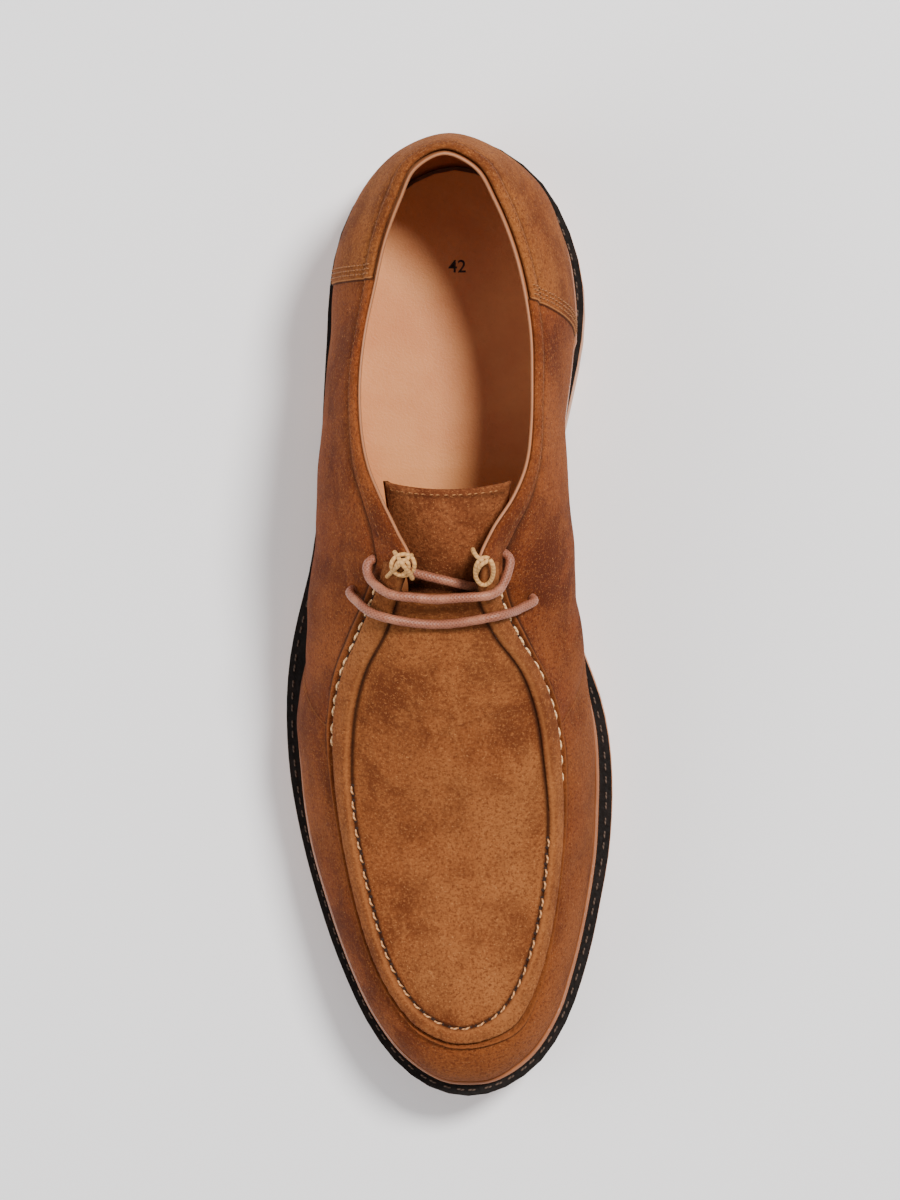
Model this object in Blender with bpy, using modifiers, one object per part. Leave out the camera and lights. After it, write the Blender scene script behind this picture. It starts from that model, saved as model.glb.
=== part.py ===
"""Apron-front suede lace-up shoe for the right foot, EU size 42.

The shoe stands on its sole. X runs across it with the inner (medial) side at +X,
Y runs along it with the toe at -Y and the heel at +Y, and Z is up. The origin is
on the floor, in the middle of the outsole's length and width.

The tables give the model size in millimetres, one row for each girth line of the
last, counted from the heel (0) to the toe (24). grade() scales them to the
driving dimensions below.
"""
import math

import bmesh
import bpy
from mathutils import Vector

MM = 0.001

# Driving dimensions
SHOE_LENGTH = 294 * MM        # outsole, heel to toe
BALL_WIDTH = 100.9 * MM       # outsole, across the ball
TAB_HEIGHT = 104.1 * MM       # floor to the tips of the lacing tabs
WALL = 2.1 * MM               # suede and lining together
COUNTER_STEP = 0.7 * MM       # the heel counter lies on the quarters
GAP = 0.3 * MM                # clearance between neighbouring pieces
MIDSOLE_THICKNESS = 3.1 * MM
WELT_THICKNESS = 1.2 * MM
WELT_INSET = 0.1 * MM         # welt's edge, in from the outsole's
MIDSOLE_INSET = 0.6 * MM
RAND_THICKNESS = 1.2 * MM
RAND_HEIGHT = 2.8 * MM
INSOLE_THICKNESS = 2.9 * MM
TONGUE_THICKNESS = 1.9 * MM
LACE_DIAMETER = 2.6 * MM
LACE_HOLE_DIAMETER = 4.1 * MM

MODEL_LENGTH = 307.3          # the tables' own sizes, in millimetres
MODEL_WIDTH = 105.5
MODEL_HEIGHT = 108.8

STATIONS = 24                 # girth lines from the heel to the toe
LOOP = 2 * STATIONS           # control points round the whole shoe

# Outsole outline: y, lateral x, medial x
SOLE_OUTLINE = [
    (154.0, 2.0, 2.0),
    (149.5, -14.0, 17.0), (138.5, -26.4, 30.4), (123.0, -34.6, 39.0),
    (106.0, -38.2, 43.1), (89.0, -39.2, 42.8), (72.0, -40.2, 39.6),
    (56.0, -41.0, 36.2), (41.0, -41.9, 34.0), (27.0, -43.2, 33.2),
    (13.5, -45.7, 35.2), (0.0, -49.3, 39.0), (-13.0, -52.0, 43.6),
    (-26.0, -53.2, 48.4), (-39.0, -53.1, 51.2), (-52.0, -52.0, 52.3),
    (-65.0, -49.7, 52.2), (-78.0, -46.6, 51.1), (-91.0, -42.8, 48.8),
    (-104.0, -38.4, 46.2), (-117.0, -33.0, 42.7), (-130.0, -26.4, 37.8),
    (-142.0, -17.4, 30.0), (-150.4, -6.0, 18.6),
    (-153.3, 6.6, 6.6),
]

# Foot of the upper, where it stands on the midsole: y, lateral x, medial x
FEATHER = [
    (146.0, 2.2, 2.2),
    (141.5, -12.4, 16.4), (131.0, -23.2, 27.8), (116.5, -30.5, 34.9),
    (101.0, -33.6, 37.6), (86.0, -35.0, 37.7), (71.0, -35.8, 36.0),
    (55.0, -36.5, 33.4), (40.0, -37.2, 31.8), (26.0, -38.2, 31.4),
    (13.0, -39.5, 32.8), (0.0, -41.0, 35.7), (-12.0, -43.2, 38.9),
    (-24.0, -45.6, 41.8), (-37.0, -46.9, 44.9), (-50.0, -46.0, 46.0),
    (-63.0, -44.6, 45.8), (-76.0, -42.0, 45.1), (-89.0, -38.2, 43.3),
    (-102.0, -33.8, 40.8), (-114.0, -29.0, 37.8), (-126.6, -22.6, 33.6),
    (-138.6, -13.4, 26.2), (-145.8, -2.6, 16.0),
    (-147.4, 6.4, 6.4),
]

# Half way up the side: y, lateral x, medial x, z
GIRDLE = [
    (150.0, 2.4, 2.4, 56.0),
    (145.0, -13.2, 17.4, 56.0), (133.8, -24.4, 30.0, 56.0), (119.0, -31.3, 36.3, 55.0),
    (102.0, -34.6, 39.3, 54.0), (86.0, -36.0, 40.1, 54.0), (71.0, -37.0, 39.2, 55.0),
    (56.0, -38.0, 38.8, 56.5), (42.0, -38.7, 39.2, 57.5), (29.0, -39.5, 40.0, 57.5),
    (17.0, -40.4, 40.5, 56.5), (5.5, -41.0, 41.3, 53.5), (-6.0, -42.4, 42.1, 48.5),
    (-18.5, -44.5, 42.9, 42.5), (-32.0, -46.1, 44.5, 37.5), (-46.0, -45.8, 45.2, 34.0),
    (-60.0, -44.5, 45.4, 32.3), (-73.5, -42.0, 44.9, 31.6), (-87.0, -38.2, 43.1, 32.0),
    (-100.0, -34.0, 40.6, 33.2), (-112.0, -29.2, 37.8, 35.0), (-124.4, -22.9, 33.8, 37.4),
    (-136.0, -14.0, 26.4, 40.0), (-143.8, -3.2, 16.0, 42.0),
    (-145.4, 6.2, 6.2, 42.6),
]

# Collar seam behind, crease under the apron seam in front: y, lateral x, medial x, z
CREASE = [
    (143.8, 2.6, 2.6, 89.6),
    (138.8, -9.2, 14.6, 88.4), (128.8, -15.2, 21.0, 85.4), (116.0, -19.8, 26.2, 82.2),
    (102.0, -22.9, 29.7, 80.6), (87.0, -26.0, 32.0, 80.4), (72.0, -27.4, 32.6, 82.6),
    (57.0, -26.9, 32.5, 87.0), (44.5, -25.0, 31.2, 91.2), (34.0, -22.0, 28.2, 94.4),
    (25.0, -19.4, 23.8, 96.2), (15.6, -18.8, 20.4, 93.6), (5.0, -22.8, 21.8, 84.4),
    (-6.5, -28.6, 27.0, 74.6), (-19.0, -33.8, 33.0, 65.6), (-34.0, -36.3, 37.4, 58.0),
    (-50.0, -35.6, 38.4, 53.4), (-66.0, -33.4, 38.0, 50.4), (-81.0, -30.8, 36.7, 48.7),
    (-95.0, -27.4, 34.8, 47.9), (-107.5, -23.2, 32.5, 48.0), (-119.4, -17.0, 29.2, 49.0),
    (-129.6, -8.8, 23.8, 50.6), (-134.0, -0.8, 14.8, 51.8),
    (-135.2, 5.6, 5.6, 52.2),
]

# Collar edge behind, tab tip, then inner edge of the apron seam: y, lateral x, medial x, z
TOPLINE = [
    (141.6, 2.6, 2.6, 94.6),
    (136.6, -7.4, 13.0, 93.4), (127.0, -12.4, 18.7, 90.4), (115.0, -17.2, 23.7, 87.0),
    (102.0, -20.4, 27.3, 85.3), (87.0, -23.6, 29.7, 85.2), (72.5, -25.0, 30.2, 87.4),
    (58.0, -24.3, 30.1, 91.8), (46.0, -21.8, 28.8, 96.6), (35.6, -17.3, 24.8, 101.2),
    (26.0, -12.4, 18.9, 105.4), (16.4, -7.9, 15.0, 108.8), (7.0, -10.8, 13.0, 97.4),
    (-5.0, -15.9, 17.0, 86.4), (-17.0, -22.7, 25.3, 77.4), (-31.0, -26.8, 29.9, 69.2),
    (-47.0, -28.2, 32.0, 63.4), (-63.0, -27.5, 33.2, 59.6), (-78.0, -25.1, 32.4, 57.2),
    (-92.0, -22.0, 30.6, 55.9), (-104.0, -18.5, 27.7, 55.2), (-114.5, -13.8, 23.8, 54.9),
    (-122.8, -7.6, 18.6, 54.9), (-127.4, -0.8, 12.0, 55.1),
    (-128.9, 5.4, 5.4, 55.2),
]

# Ridge of the apron along its middle: y, z
APRON_RIDGE = [
    (16.0, 96.6), (7.0, 93.8), (-5.0, 89.0), (-17.0, 83.8), (-31.0, 78.4), (-45.0, 72.6),
    (-58.0, 66.6), (-70.0, 62.4), (-84.0, 60.3), (-100.0, 58.9), (-114.0, 57.6), (-130.0, 55.6),
]

# Top of the rubber under the midsole: y, z
RUBBER_TOP = [
    (154.0, 21.8), (128.0, 21.4), (92.0, 21.3), (66.0, 20.7), (48.0, 19.8), (30.0, 17.5),
    (13.0, 14.7), (-5.0, 12.1), (-23.0, 10.5), (-40.0, 10.1), (-58.0, 10.7), (-76.0, 12.1),
    (-94.0, 14.2), (-112.0, 16.8), (-129.0, 20.2), (-154.0, 25.2),
]

# Tread from heel to toe, without its notches: y, z
TREAD = [
    (156.0, 2.9), (146.0, 1.0), (136.0, 0.0), (69.5, 0.0), (56.5, 5.2), (23.5, 5.2),
    (11.0, 2.6), (-4.0, 0.7), (-15.0, 0.0), (-63.0, 0.0), (-76.0, 1.2), (-90.0, 2.8),
    (-104.0, 4.5), (-118.0, 6.9), (-132.0, 9.3), (-144.0, 11.7), (-156.0, 14.2),
]

# Grooves across the tread: y of the middle, width, depth
NOTCHES = [
    (113.0, 1.6, 1.4), (99.5, 1.6, 1.4), (84.5, 5.0, 1.7), (-11.0, 1.8, 1.8),
    (-26.3, 5.8, 1.8), (-40.5, 1.8, 1.6), (-56.0, 1.8, 1.6), (-70.5, 1.8, 1.6),
    (-88.0, 1.8, 1.6), (-102.0, 1.8, 1.6), (-115.5, 1.8, 1.8), (-129.0, 1.8, 1.8),
]

# Steps of the wall between crease and topline: share of the way, extra thickness in mm
SEAM_STEPS = [(0.14, 1.0), (0.30, 0.5), (0.44, 1.8), (0.80, 2.0), (1.0, 0.3)]

WALL_LEVELS = [-0.12, 0.0, 0.14, 0.30, 0.48, 0.66, 0.84, 1.0]   # foot of the wall to crease
APRON_SHARES = [-0.92, -0.72, -0.48, -0.24, 0.0, 0.24, 0.48, 0.72, 0.92]

TAB_STATION = 11              # girth line through the tips of the tabs
THROAT_STATION = 12           # the apron begins here and runs to the toe
COUNTER_LATERAL = 3.68        # girth lines of the counter's front edges
COUNTER_MEDIAL = 4.35
COUNTER_EDGE = 0.06           # the step is made between two close columns

# Lace holes: side (-1 lateral, 1 medial), girth line, level on the wall
LACE_HOLES = {
    "upper_lateral": (-1, 10.78, 0.99),
    "upper_medial": (1, 10.64, 1.02),
    "lower_lateral": (-1, 11.46, 0.90),
    "lower_medial": (1, 11.62, 0.87),
}
LACE_INSIDE = -4.6            # the lace's depth behind a hole, from the outer face
LACE_IN_WALL = -1.1
LACE_MOUTH = 2.2              # its height where it leaves a hole

# Crossings over the apron seam: side, girth line, level, height of the lace's middle;
# between the seams x, y, z
UPPER_CROSSING = [
    (-1, 11.22, 1.10, 3.2), (-1, 11.52, 1.52, 4.1), (-1, 11.80, 1.94, 4.1),
    (-5.6, 5.9, 101.6), (0.4, 5.3, 101.0), (6.4, 5.8, 101.6),
    (1, 11.78, 1.94, 4.1), (1, 11.60, 1.58, 4.1), (1, 11.26, 1.28, 3.3),
]
LOWER_CROSSING = [
    (-1, 11.96, 1.04, 3.0), (-1, 12.24, 1.50, 4.4), (-1, 12.46, 1.94, 4.0),
    (-8.0, -1.6, 93.2), (0.0, -2.2, 92.2), (7.0, -1.7, 93.0),
    (1, 12.46, 1.92, 4.1), (1, 12.32, 1.52, 4.4), (1, 12.22, 1.10, 3.3), (1, 11.94, 0.95, 2.6),
]
INNER_CROSSING = [
    (-14.6, 16.2, 91.6), (-11.0, 14.8, 94.0), (-6.3, 13.3, 95.4), (1.6, 11.4, 95.6),
    (8.4, 9.8, 93.1), (12.2, 8.9, 89.9), (15.6, 8.1, 86.4), (18.6, 7.4, 82.4), (21.8, 6.8, 78.4),
]

# Tongue: y, middle x, half width, z of the ridge, drop of the sides
TONGUE = [
    (-6.0, 0.6, 10.5, 84.4, 3.2), (3.0, 1.6, 10.5, 87.6, 4.8), (12.0, 2.4, 11.5, 90.9, 6.0),
    (21.0, 2.9, 16.0, 95.0, 7.6), (30.0, 3.2, 17.6, 98.2, 8.4), (38.6, 3.4, 19.2, 100.6, 7.6),
]
TONGUE_EARS = 2.8             # the top edge's corners stand this far behind its middle


def grade(x, y, z=0.0):
    """A table's millimetres as a point of the shoe's own size, in metres."""
    return Vector((
        x * BALL_WIDTH / MODEL_WIDTH,
        y * SHOE_LENGTH / MODEL_LENGTH,
        z * TAB_HEIGHT / MODEL_HEIGHT,
    ))


def through(p0, p1, p2, p3, t):
    """A smooth curve (Catmull-Rom) from p1 to p2."""
    return 0.5 * (
        2 * p1 + (p2 - p0) * t + (2 * p0 - 5 * p1 + 4 * p2 - p3) * t ** 2
        + (3 * p1 - p0 - 3 * p2 + p3) * t ** 3
    )


def height_at(table, y):
    """Height at y of a table with rows (y, z), its rows running from heel to toe."""
    rows = [grade(0, row[0], row[1]) for row in table]
    if y >= rows[0].y:
        return rows[0].z
    for i in range(len(rows) - 1):
        if y >= rows[i + 1].y:
            break
    else:
        return rows[-1].z
    before = rows[max(i - 1, 0)]
    after = rows[min(i + 2, len(rows) - 1)]
    t = (rows[i].y - y) / (rows[i].y - rows[i + 1].y)
    return through(before.z, rows[i].z, rows[i + 1].z, after.z, t)


def control_loop(table):
    """Closed loop of points: down the lateral side to the toe, back up the medial."""
    heights = [row[3] if len(row) > 3 else 0.0 for row in table]
    lateral = [grade(row[1], row[0], z) for row, z in zip(table, heights)]
    medial = [grade(row[2], row[0], z) for row, z in zip(table, heights)]
    return lateral + medial[-2:0:-1]


def loop_point(loop, place):
    """Point of a closed smooth loop at a place from 0 to LOOP."""
    i = math.floor(place)
    points = [loop[(i + k) % LOOP] for k in (-1, 0, 1, 2)]
    return through(*points, place - i)


def loop_place(side, station):
    """Place on the loop of a girth line: side is -1 lateral or 1 medial."""
    return station if side < 0 else LOOP - station


def outward(loop, place):
    """Level direction away from the shoe at a place on a loop."""
    ahead = loop_point(loop, place + 0.05) - loop_point(loop, place - 0.05)
    return Vector((ahead.y, -ahead.x, 0)).normalized()


def places():
    """Places of a sole piece's columns, every half girth line, in pairs across it."""
    return [k * 0.5 for k in range(2 * LOOP)]


def wall_places():
    """Places of the wall's columns, with two close ones at each edge of the counter."""
    lateral = [COUNTER_LATERAL, COUNTER_LATERAL + COUNTER_EDGE]
    medial = [LOOP - COUNTER_MEDIAL - COUNTER_EDGE, LOOP - COUNTER_MEDIAL]
    return sorted(places() + lateral + medial)


FEATHER_LOOP = control_loop(FEATHER)
GIRDLE_LOOP = control_loop(GIRDLE)
CREASE_LOOP = control_loop(CREASE)
TOPLINE_LOOP = control_loop(TOPLINE)
SOLE_LOOP = control_loop(SOLE_OUTLINE)


def seat_height(y):
    """Height of what stands on the midsole."""
    return height_at(RUBBER_TOP, y) + GAP + MIDSOLE_THICKNESS + GAP


def wall_point(place, level):
    """The wall's outer face: level 0 is its foot, 1 the crease and 2 the topline."""
    foot = loop_point(FEATHER_LOOP, place)
    foot.z = seat_height(foot.y)
    crease = loop_point(CREASE_LOOP, place)
    if level > 1:
        return crease.lerp(loop_point(TOPLINE_LOOP, place), level - 1)
    bend = 2 * loop_point(GIRDLE_LOOP, place) - 0.5 * (foot + crease)
    return (1 - level) ** 2 * foot + 2 * level * (1 - level) * bend + level ** 2 * crease


def wall_normal(place, level):
    """Direction out of the wall's outer face."""
    along = wall_point(place + 0.05, level) - wall_point(place - 0.05, level)
    up = wall_point(place, level + 0.02) - wall_point(place, level - 0.02)
    return along.cross(up).normalized()


def in_counter(place):
    return place <= COUNTER_LATERAL or place >= LOOP - COUNTER_MEDIAL


def material(name, colour, roughness):
    made = bpy.data.materials.new(name)
    made.use_nodes = True
    shader = made.node_tree.nodes["Principled BSDF"]
    shader.inputs["Base Color"].default_value = (*colour, 1.0)
    shader.inputs["Roughness"].default_value = roughness
    shader.inputs["Metallic"].default_value = 0.0
    return made


def collection(name):
    made = bpy.data.collections.new(name)
    bpy.context.scene.collection.children.link(made)
    return made


def mesh_object(name, points, faces, where):
    mesh = bpy.data.meshes.new(name)
    mesh.from_pydata([tuple(p) for p in points], [], faces)
    made = bpy.data.objects.new(name, mesh)
    where.objects.link(made)
    work = bmesh.new()
    work.from_mesh(mesh)
    bmesh.ops.recalc_face_normals(work, faces=work.faces)
    work.to_mesh(mesh)
    work.free()
    return made


def finish(made, look):
    made.data.materials.clear()
    made.data.materials.append(look)
    made.data.shade_smooth()
    made.data.set_sharp_from_angle(angle=math.radians(35))


def boolean(made, operation, cutter):
    step = made.modifiers.new(operation.title(), "BOOLEAN")
    step.operation = operation
    step.solver = "EXACT"
    step.object = cutter


def as_cutter(made):
    made.hide_render = True
    made.display_type = "WIRE"


def plate(name, rim, bottom, top, where):
    """Solid between two curved sheets inside a rim; rim points pair up across it."""
    count = len(rim)
    half = count // 2
    low = [Vector((p.x, p.y, bottom(p.y))) for p in rim]
    high = [Vector((p.x, p.y, top(p.y))) for p in rim]
    faces = [[i, (i + 1) % count, (i + 1) % count + count, i + count] for i in range(count)]
    for base in (0, count):
        faces.append([base, base + 1, base + count - 1])
        faces.append([base + half, base + half + 1, base + half - 1])
        for i in range(1, half - 1):
            faces.append([base + i, base + i + 1, base + count - i - 1, base + count - i])
    return mesh_object(name, low + high, faces, where)


def inset_rim(loop, inset):
    return [loop_point(loop, s) - outward(loop, s) * inset for s in places()]


def ring(name, inner, outer, bottom, top, where):
    """Closed band: inner and outer give a point for a place and a rise."""
    columns = wall_places()
    points = []
    for s in columns:
        points += [inner(s, bottom), outer(s, bottom), outer(s, top), inner(s, top)]
    faces = []
    for i in range(len(columns)):
        j = (i + 1) % len(columns)
        for k in range(4):
            m = (k + 1) % 4
            faces.append([4 * i + k, 4 * i + m, 4 * j + m, 4 * j + k])
    return mesh_object(name, points, faces, where)


def beside_wall(place, rise, clearance):
    """Point beside the foot of the wall, a rise above the midsole's clearance."""
    level = 0.0
    point = wall_point(place, level)
    while point.z - seat_height(point.y) < rise:
        level += 0.005
        point = wall_point(place, level)
    proud = clearance + (COUNTER_STEP if in_counter(place) else 0.0)
    point += outward(FEATHER_LOOP, place) * proud
    point.z = seat_height(point.y) + rise
    return point


def make_outsole(parts, cutters, look):
    rim = inset_rim(SOLE_LOOP, 0.0)
    made = plate("outsole", rim, lambda y: -5 * MM, lambda y: height_at(RUBBER_TOP, y), parts)

    line = []
    for k, (y, z) in enumerate(TREAD[:-1]):
        line.append((y, z))
        next_y, next_z = TREAD[k + 1]
        for middle, width, depth in sorted(NOTCHES, reverse=True):
            if next_y < middle <= y:
                slope = (next_z - z) / (next_y - y)
                start = (middle + width / 2, z + slope * (middle + width / 2 - y))
                end = (middle - width / 2, z + slope * (middle - width / 2 - y))
                line += [start, (start[0], start[1] + depth), (end[0], end[1] + depth), end]
    line.append(TREAD[-1])
    line += [(line[-1][0], 60.0), (line[0][0], 60.0)]
    half_width = 60 * MM
    points = [grade(0, y, z) + Vector((side * half_width, 0, 0)) for side in (-1, 1) for y, z in line]
    count = len(line)
    faces = [list(range(count)), list(range(2 * count - 1, count - 1, -1))]
    faces += [[i, (i + 1) % count, (i + 1) % count + count, i + count] for i in range(count)]
    tread = mesh_object("tread_profile", points, faces, cutters)
    as_cutter(tread)
    boolean(made, "INTERSECT", tread)
    finish(made, look)


def make_midsole(parts, look):
    low = lambda y: height_at(RUBBER_TOP, y) + GAP
    high = lambda y: low(y) + MIDSOLE_THICKNESS
    finish(plate("midsole", inset_rim(SOLE_LOOP, MIDSOLE_INSET), low, high, parts), look)


def make_welt(parts, look):
    def edge(s, rise):
        point = loop_point(SOLE_LOOP, s) - outward(SOLE_LOOP, s) * WELT_INSET
        return Vector((point.x, point.y, seat_height(point.y) + rise))

    def inner(s, rise):
        return beside_wall(s, rise, GAP)

    finish(ring("welt", inner, edge, 0.0, WELT_THICKNESS, parts), look)


def make_rand(parts, look):
    def inner(s, rise):
        return beside_wall(s, rise, GAP)

    def outer(s, rise):
        return beside_wall(s, rise, GAP + RAND_THICKNESS)

    low = WELT_THICKNESS + GAP
    finish(ring("rand", inner, outer, low, low + RAND_HEIGHT, parts), look)


def make_insole(parts, look):
    rim = inset_rim(FEATHER_LOOP, WALL + 1.0 * MM)
    top = lambda y: seat_height(y) + INSOLE_THICKNESS
    finish(plate("insole", rim, seat_height, top, parts), look)


def upper_sheet(parts):
    """The upper's outer face as one open sheet, and each point's extra thickness."""
    columns = wall_places()
    levels = WALL_LEVELS + [1 + share for share, extra in SEAM_STEPS]
    points = []
    extras = []
    for s in columns:
        station = min(s, LOOP - s)
        for level in levels:
            points.append(wall_point(s, level))
            extra = COUNTER_STEP if in_counter(s) else 0.0
            for share, thick in SEAM_STEPS:
                if level == 1 + share and station >= TAB_STATION:
                    extra = thick * MM
            extras.append(extra)
    rings = len(levels)
    faces = []
    for i in range(len(columns)):
        j = (i + 1) % len(columns)
        for k in range(rings - 1):
            faces.append([i * rings + k, j * rings + k, j * rings + k + 1, i * rings + k + 1])

    def top_index(place):
        return columns.index(place) * rings + rings - 1

    rows = []
    for k in range(2 * (STATIONS - THROAT_STATION)):
        station = THROAT_STATION + k * 0.5
        left = top_index(station)
        right = top_index(LOOP - station)
        row = [left]
        for share in APRON_SHARES:
            point = points[left].lerp(points[right], (share + 1) / 2)
            rise = height_at(APRON_RIDGE, point.y) - point.z
            point.z += rise * (1 - abs(share) ** 2.2)
            row.append(len(points))
            points.append(point)
            extras.append(0.0)
        rows.append(row + [right])
    for row, below in zip(rows, rows[1:]):
        for k in range(len(row) - 1):
            faces.append([row[k], row[k + 1], below[k + 1], below[k]])
    toe = top_index(float(STATIONS))
    last = rows[-1]
    faces += [[last[k], last[k + 1], toe] for k in range(len(last) - 1)]
    return mesh_object("upper", points, faces, parts), extras


def face_out(made):
    """Turns an open sheet's faces away from the inside of the shoe."""
    work = bmesh.new()
    work.from_mesh(made.data)
    work.normal_update()
    inside = Vector((0, 0, 45 * MM))
    votes = sum(1 if f.normal.dot(f.calc_center_median() - inside) > 0 else -1 for f in work.faces)
    if votes < 0:
        bmesh.ops.reverse_faces(work, faces=work.faces)
    work.to_mesh(made.data)
    work.free()


def make_upper(parts, cutters, look):
    made, extras = upper_sheet(parts)
    face_out(made)
    normals = [v.normal.copy() for v in made.data.vertices]
    for vertex, normal in zip(made.data.vertices, normals):
        vertex.co -= normal * WALL
    thickest = WALL + max(extras)
    leather = made.vertex_groups.new(name="leather")
    for i, extra in enumerate(extras):
        leather.add([i], (WALL + extra) / thickest, "REPLACE")
    shell = made.modifiers.new("Leather", "SOLIDIFY")
    shell.thickness = thickest
    shell.offset = 1.0
    shell.vertex_group = "leather"

    trim_rim = [loop_point(SOLE_LOOP, s) + outward(SOLE_LOOP, s) * 8 * MM for s in places()]
    trim = plate("seat_trim", trim_rim, lambda y: -5 * MM, seat_height, cutters)
    as_cutter(trim)
    boolean(made, "DIFFERENCE", trim)

    for name, (side, station, level) in LACE_HOLES.items():
        place = loop_place(side, station)
        bpy.ops.mesh.primitive_cylinder_add(
            vertices=10, radius=LACE_HOLE_DIAMETER / 2, depth=14 * MM,
            location=wall_point(place, level),
        )
        hole = bpy.context.object
        hole.name = f"hole_{name}"
        hole.rotation_euler = wall_normal(place, level).to_track_quat("Z", "Y").to_euler()
        for holder in list(hole.users_collection):
            holder.objects.unlink(hole)
        cutters.objects.link(hole)
        as_cutter(hole)
        boolean(made, "DIFFERENCE", hole)
    finish(made, look)


def make_tongue(parts, look):
    points = []
    shares = [k / 5 for k in range(-5, 6)]
    for k, (y, middle, half, z, drop) in enumerate(TONGUE):
        for share in shares:
            ear = TONGUE_EARS * share ** 2 if k == len(TONGUE) - 1 else 0.0
            points.append(grade(middle + half * share, y + ear, z - drop * share ** 2))
    width = len(shares)
    faces = []
    for i in range(len(TONGUE) - 1):
        for k in range(width - 1):
            faces.append([i * width + k, i * width + k + 1, (i + 1) * width + k + 1, (i + 1) * width + k])
    made = mesh_object("tongue", points, faces, parts)
    face_out(made)
    shell = made.modifiers.new("Leather", "SOLIDIFY")
    shell.thickness = TONGUE_THICKNESS
    shell.offset = 0.0
    finish(made, look)


def hole_point(name, height):
    side, station, level = LACE_HOLES[name]
    place = loop_place(side, station)
    return wall_point(place, level) + wall_normal(place, level) * height * MM


def crossing_points(rows):
    points = []
    for row in rows:
        if len(row) == 3:
            points.append(grade(*row))
        else:
            side, station, level, height = row
            place = loop_place(side, station)
            points.append(wall_point(place, level) + wall_normal(place, level) * height * MM)
    return points


def lace_route():
    """From inside the lower lateral hole, across, back inside and across again."""
    route = [hole_point("lower_lateral", h) for h in (LACE_INSIDE, LACE_IN_WALL, LACE_MOUTH)]
    route += crossing_points(LOWER_CROSSING)
    route += [hole_point("lower_medial", h) for h in (LACE_MOUTH, LACE_IN_WALL, LACE_INSIDE)]
    route += crossing_points(INNER_CROSSING)[::-1]
    route += [hole_point("upper_lateral", h) for h in (LACE_INSIDE, LACE_IN_WALL, LACE_MOUTH)]
    route += crossing_points(UPPER_CROSSING)
    route += [hole_point("upper_medial", h) for h in (LACE_MOUTH, LACE_IN_WALL, LACE_INSIDE)]
    return route


def smooth_route(route, steps):
    """Points along a smooth curve through a route."""
    points = []
    for i in range(len(route) - 1):
        before = route[max(i - 1, 0)]
        after = route[min(i + 2, len(route) - 1)]
        for k in range(steps):
            points.append(through(before, route[i], route[i + 1], after, k / steps))
    return points + [route[-1]]


def make_lace(parts, look):
    points = smooth_route(lace_route(), 2)
    line = bpy.data.curves.new("lace", "CURVE")
    line.dimensions = "3D"
    spline = line.splines.new("POLY")
    spline.points.add(len(points) - 1)
    for knot, point in zip(spline.points, points):
        knot.co = (*point, 1.0)
    line.bevel_depth = LACE_DIAMETER / 2
    line.bevel_resolution = 2
    line.use_fill_caps = True
    line.materials.append(look)
    parts.objects.link(bpy.data.objects.new("lace", line))


def main():
    for old in list(bpy.data.objects):
        bpy.data.objects.remove(old, do_unlink=True)
    parts = collection("apron_shoe")
    cutters = collection("cutters")
    gum = material("gum_rubber", (0.58, 0.27, 0.13), 0.38)
    board = material("tan_board", (0.42, 0.27, 0.17), 0.7)
    dark = material("dark_welt", (0.03, 0.02, 0.016), 0.5)
    gloss = material("glossy_rand", (0.20, 0.075, 0.03), 0.25)
    suede = material("cognac_suede", (0.29, 0.105, 0.036), 0.95)
    lining = material("tan_leather", (0.52, 0.28, 0.15), 0.5)
    waxed = material("waxed_lace", (0.30, 0.13, 0.085), 0.6)
    make_outsole(parts, cutters, gum)
    make_midsole(parts, board)
    make_welt(parts, dark)
    make_rand(parts, gloss)
    make_upper(parts, cutters, suede)
    make_insole(parts, lining)
    make_tongue(parts, suede)
    make_lace(parts, waxed)


main()
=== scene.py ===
"""Looks for an apron-front suede lace-up, right foot, EU size 42.

The room comes first, then a section for each piece: sole, strip, welt, insole, suede wall,
apron, lining, threads, tongue, lace, tab ties, welt stitches, rand and size stamp.
"""

import math

import bmesh
import bpy
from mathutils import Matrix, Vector


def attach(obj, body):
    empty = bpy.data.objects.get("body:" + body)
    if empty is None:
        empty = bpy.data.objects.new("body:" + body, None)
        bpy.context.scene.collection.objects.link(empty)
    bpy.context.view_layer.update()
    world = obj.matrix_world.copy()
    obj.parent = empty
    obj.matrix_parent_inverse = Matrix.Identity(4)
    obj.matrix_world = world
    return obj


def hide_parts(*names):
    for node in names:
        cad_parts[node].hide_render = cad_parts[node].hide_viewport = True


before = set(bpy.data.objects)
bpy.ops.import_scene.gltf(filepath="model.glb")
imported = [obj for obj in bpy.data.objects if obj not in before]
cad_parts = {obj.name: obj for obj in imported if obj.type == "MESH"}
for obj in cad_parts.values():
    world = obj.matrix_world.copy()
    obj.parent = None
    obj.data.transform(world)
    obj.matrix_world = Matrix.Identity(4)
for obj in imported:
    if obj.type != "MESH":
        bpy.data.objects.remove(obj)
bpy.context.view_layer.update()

# --------------------------------------
# Room: a pale seamless floor, a key lamp behind the heel's inner side, a wide soft lamp
# on the outer side and weak fill all round. The camera looks down from 1.15 m, leaning a
# little, as over a table top.

CAMERA_PLACE = (0.0626, 0.0050, 1.148)
CAMERA_LEAN = math.radians(3.165)    # about y, because the camera stands to the right
FOCAL_LENGTH = 110.0
FILL_STRENGTH = 0.48
FLOOR_SIZE = 6.0

camera_data = bpy.data.cameras.new("camera")
camera_data.sensor_fit = "VERTICAL"
camera_data.sensor_height = 36.0
camera_data.lens = FOCAL_LENGTH
camera = bpy.data.objects.new("camera", camera_data)
camera.location = CAMERA_PLACE
camera.rotation_euler = (0.0, CAMERA_LEAN, 0.0)
bpy.context.scene.collection.objects.link(camera)
bpy.context.scene.camera = camera


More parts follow.
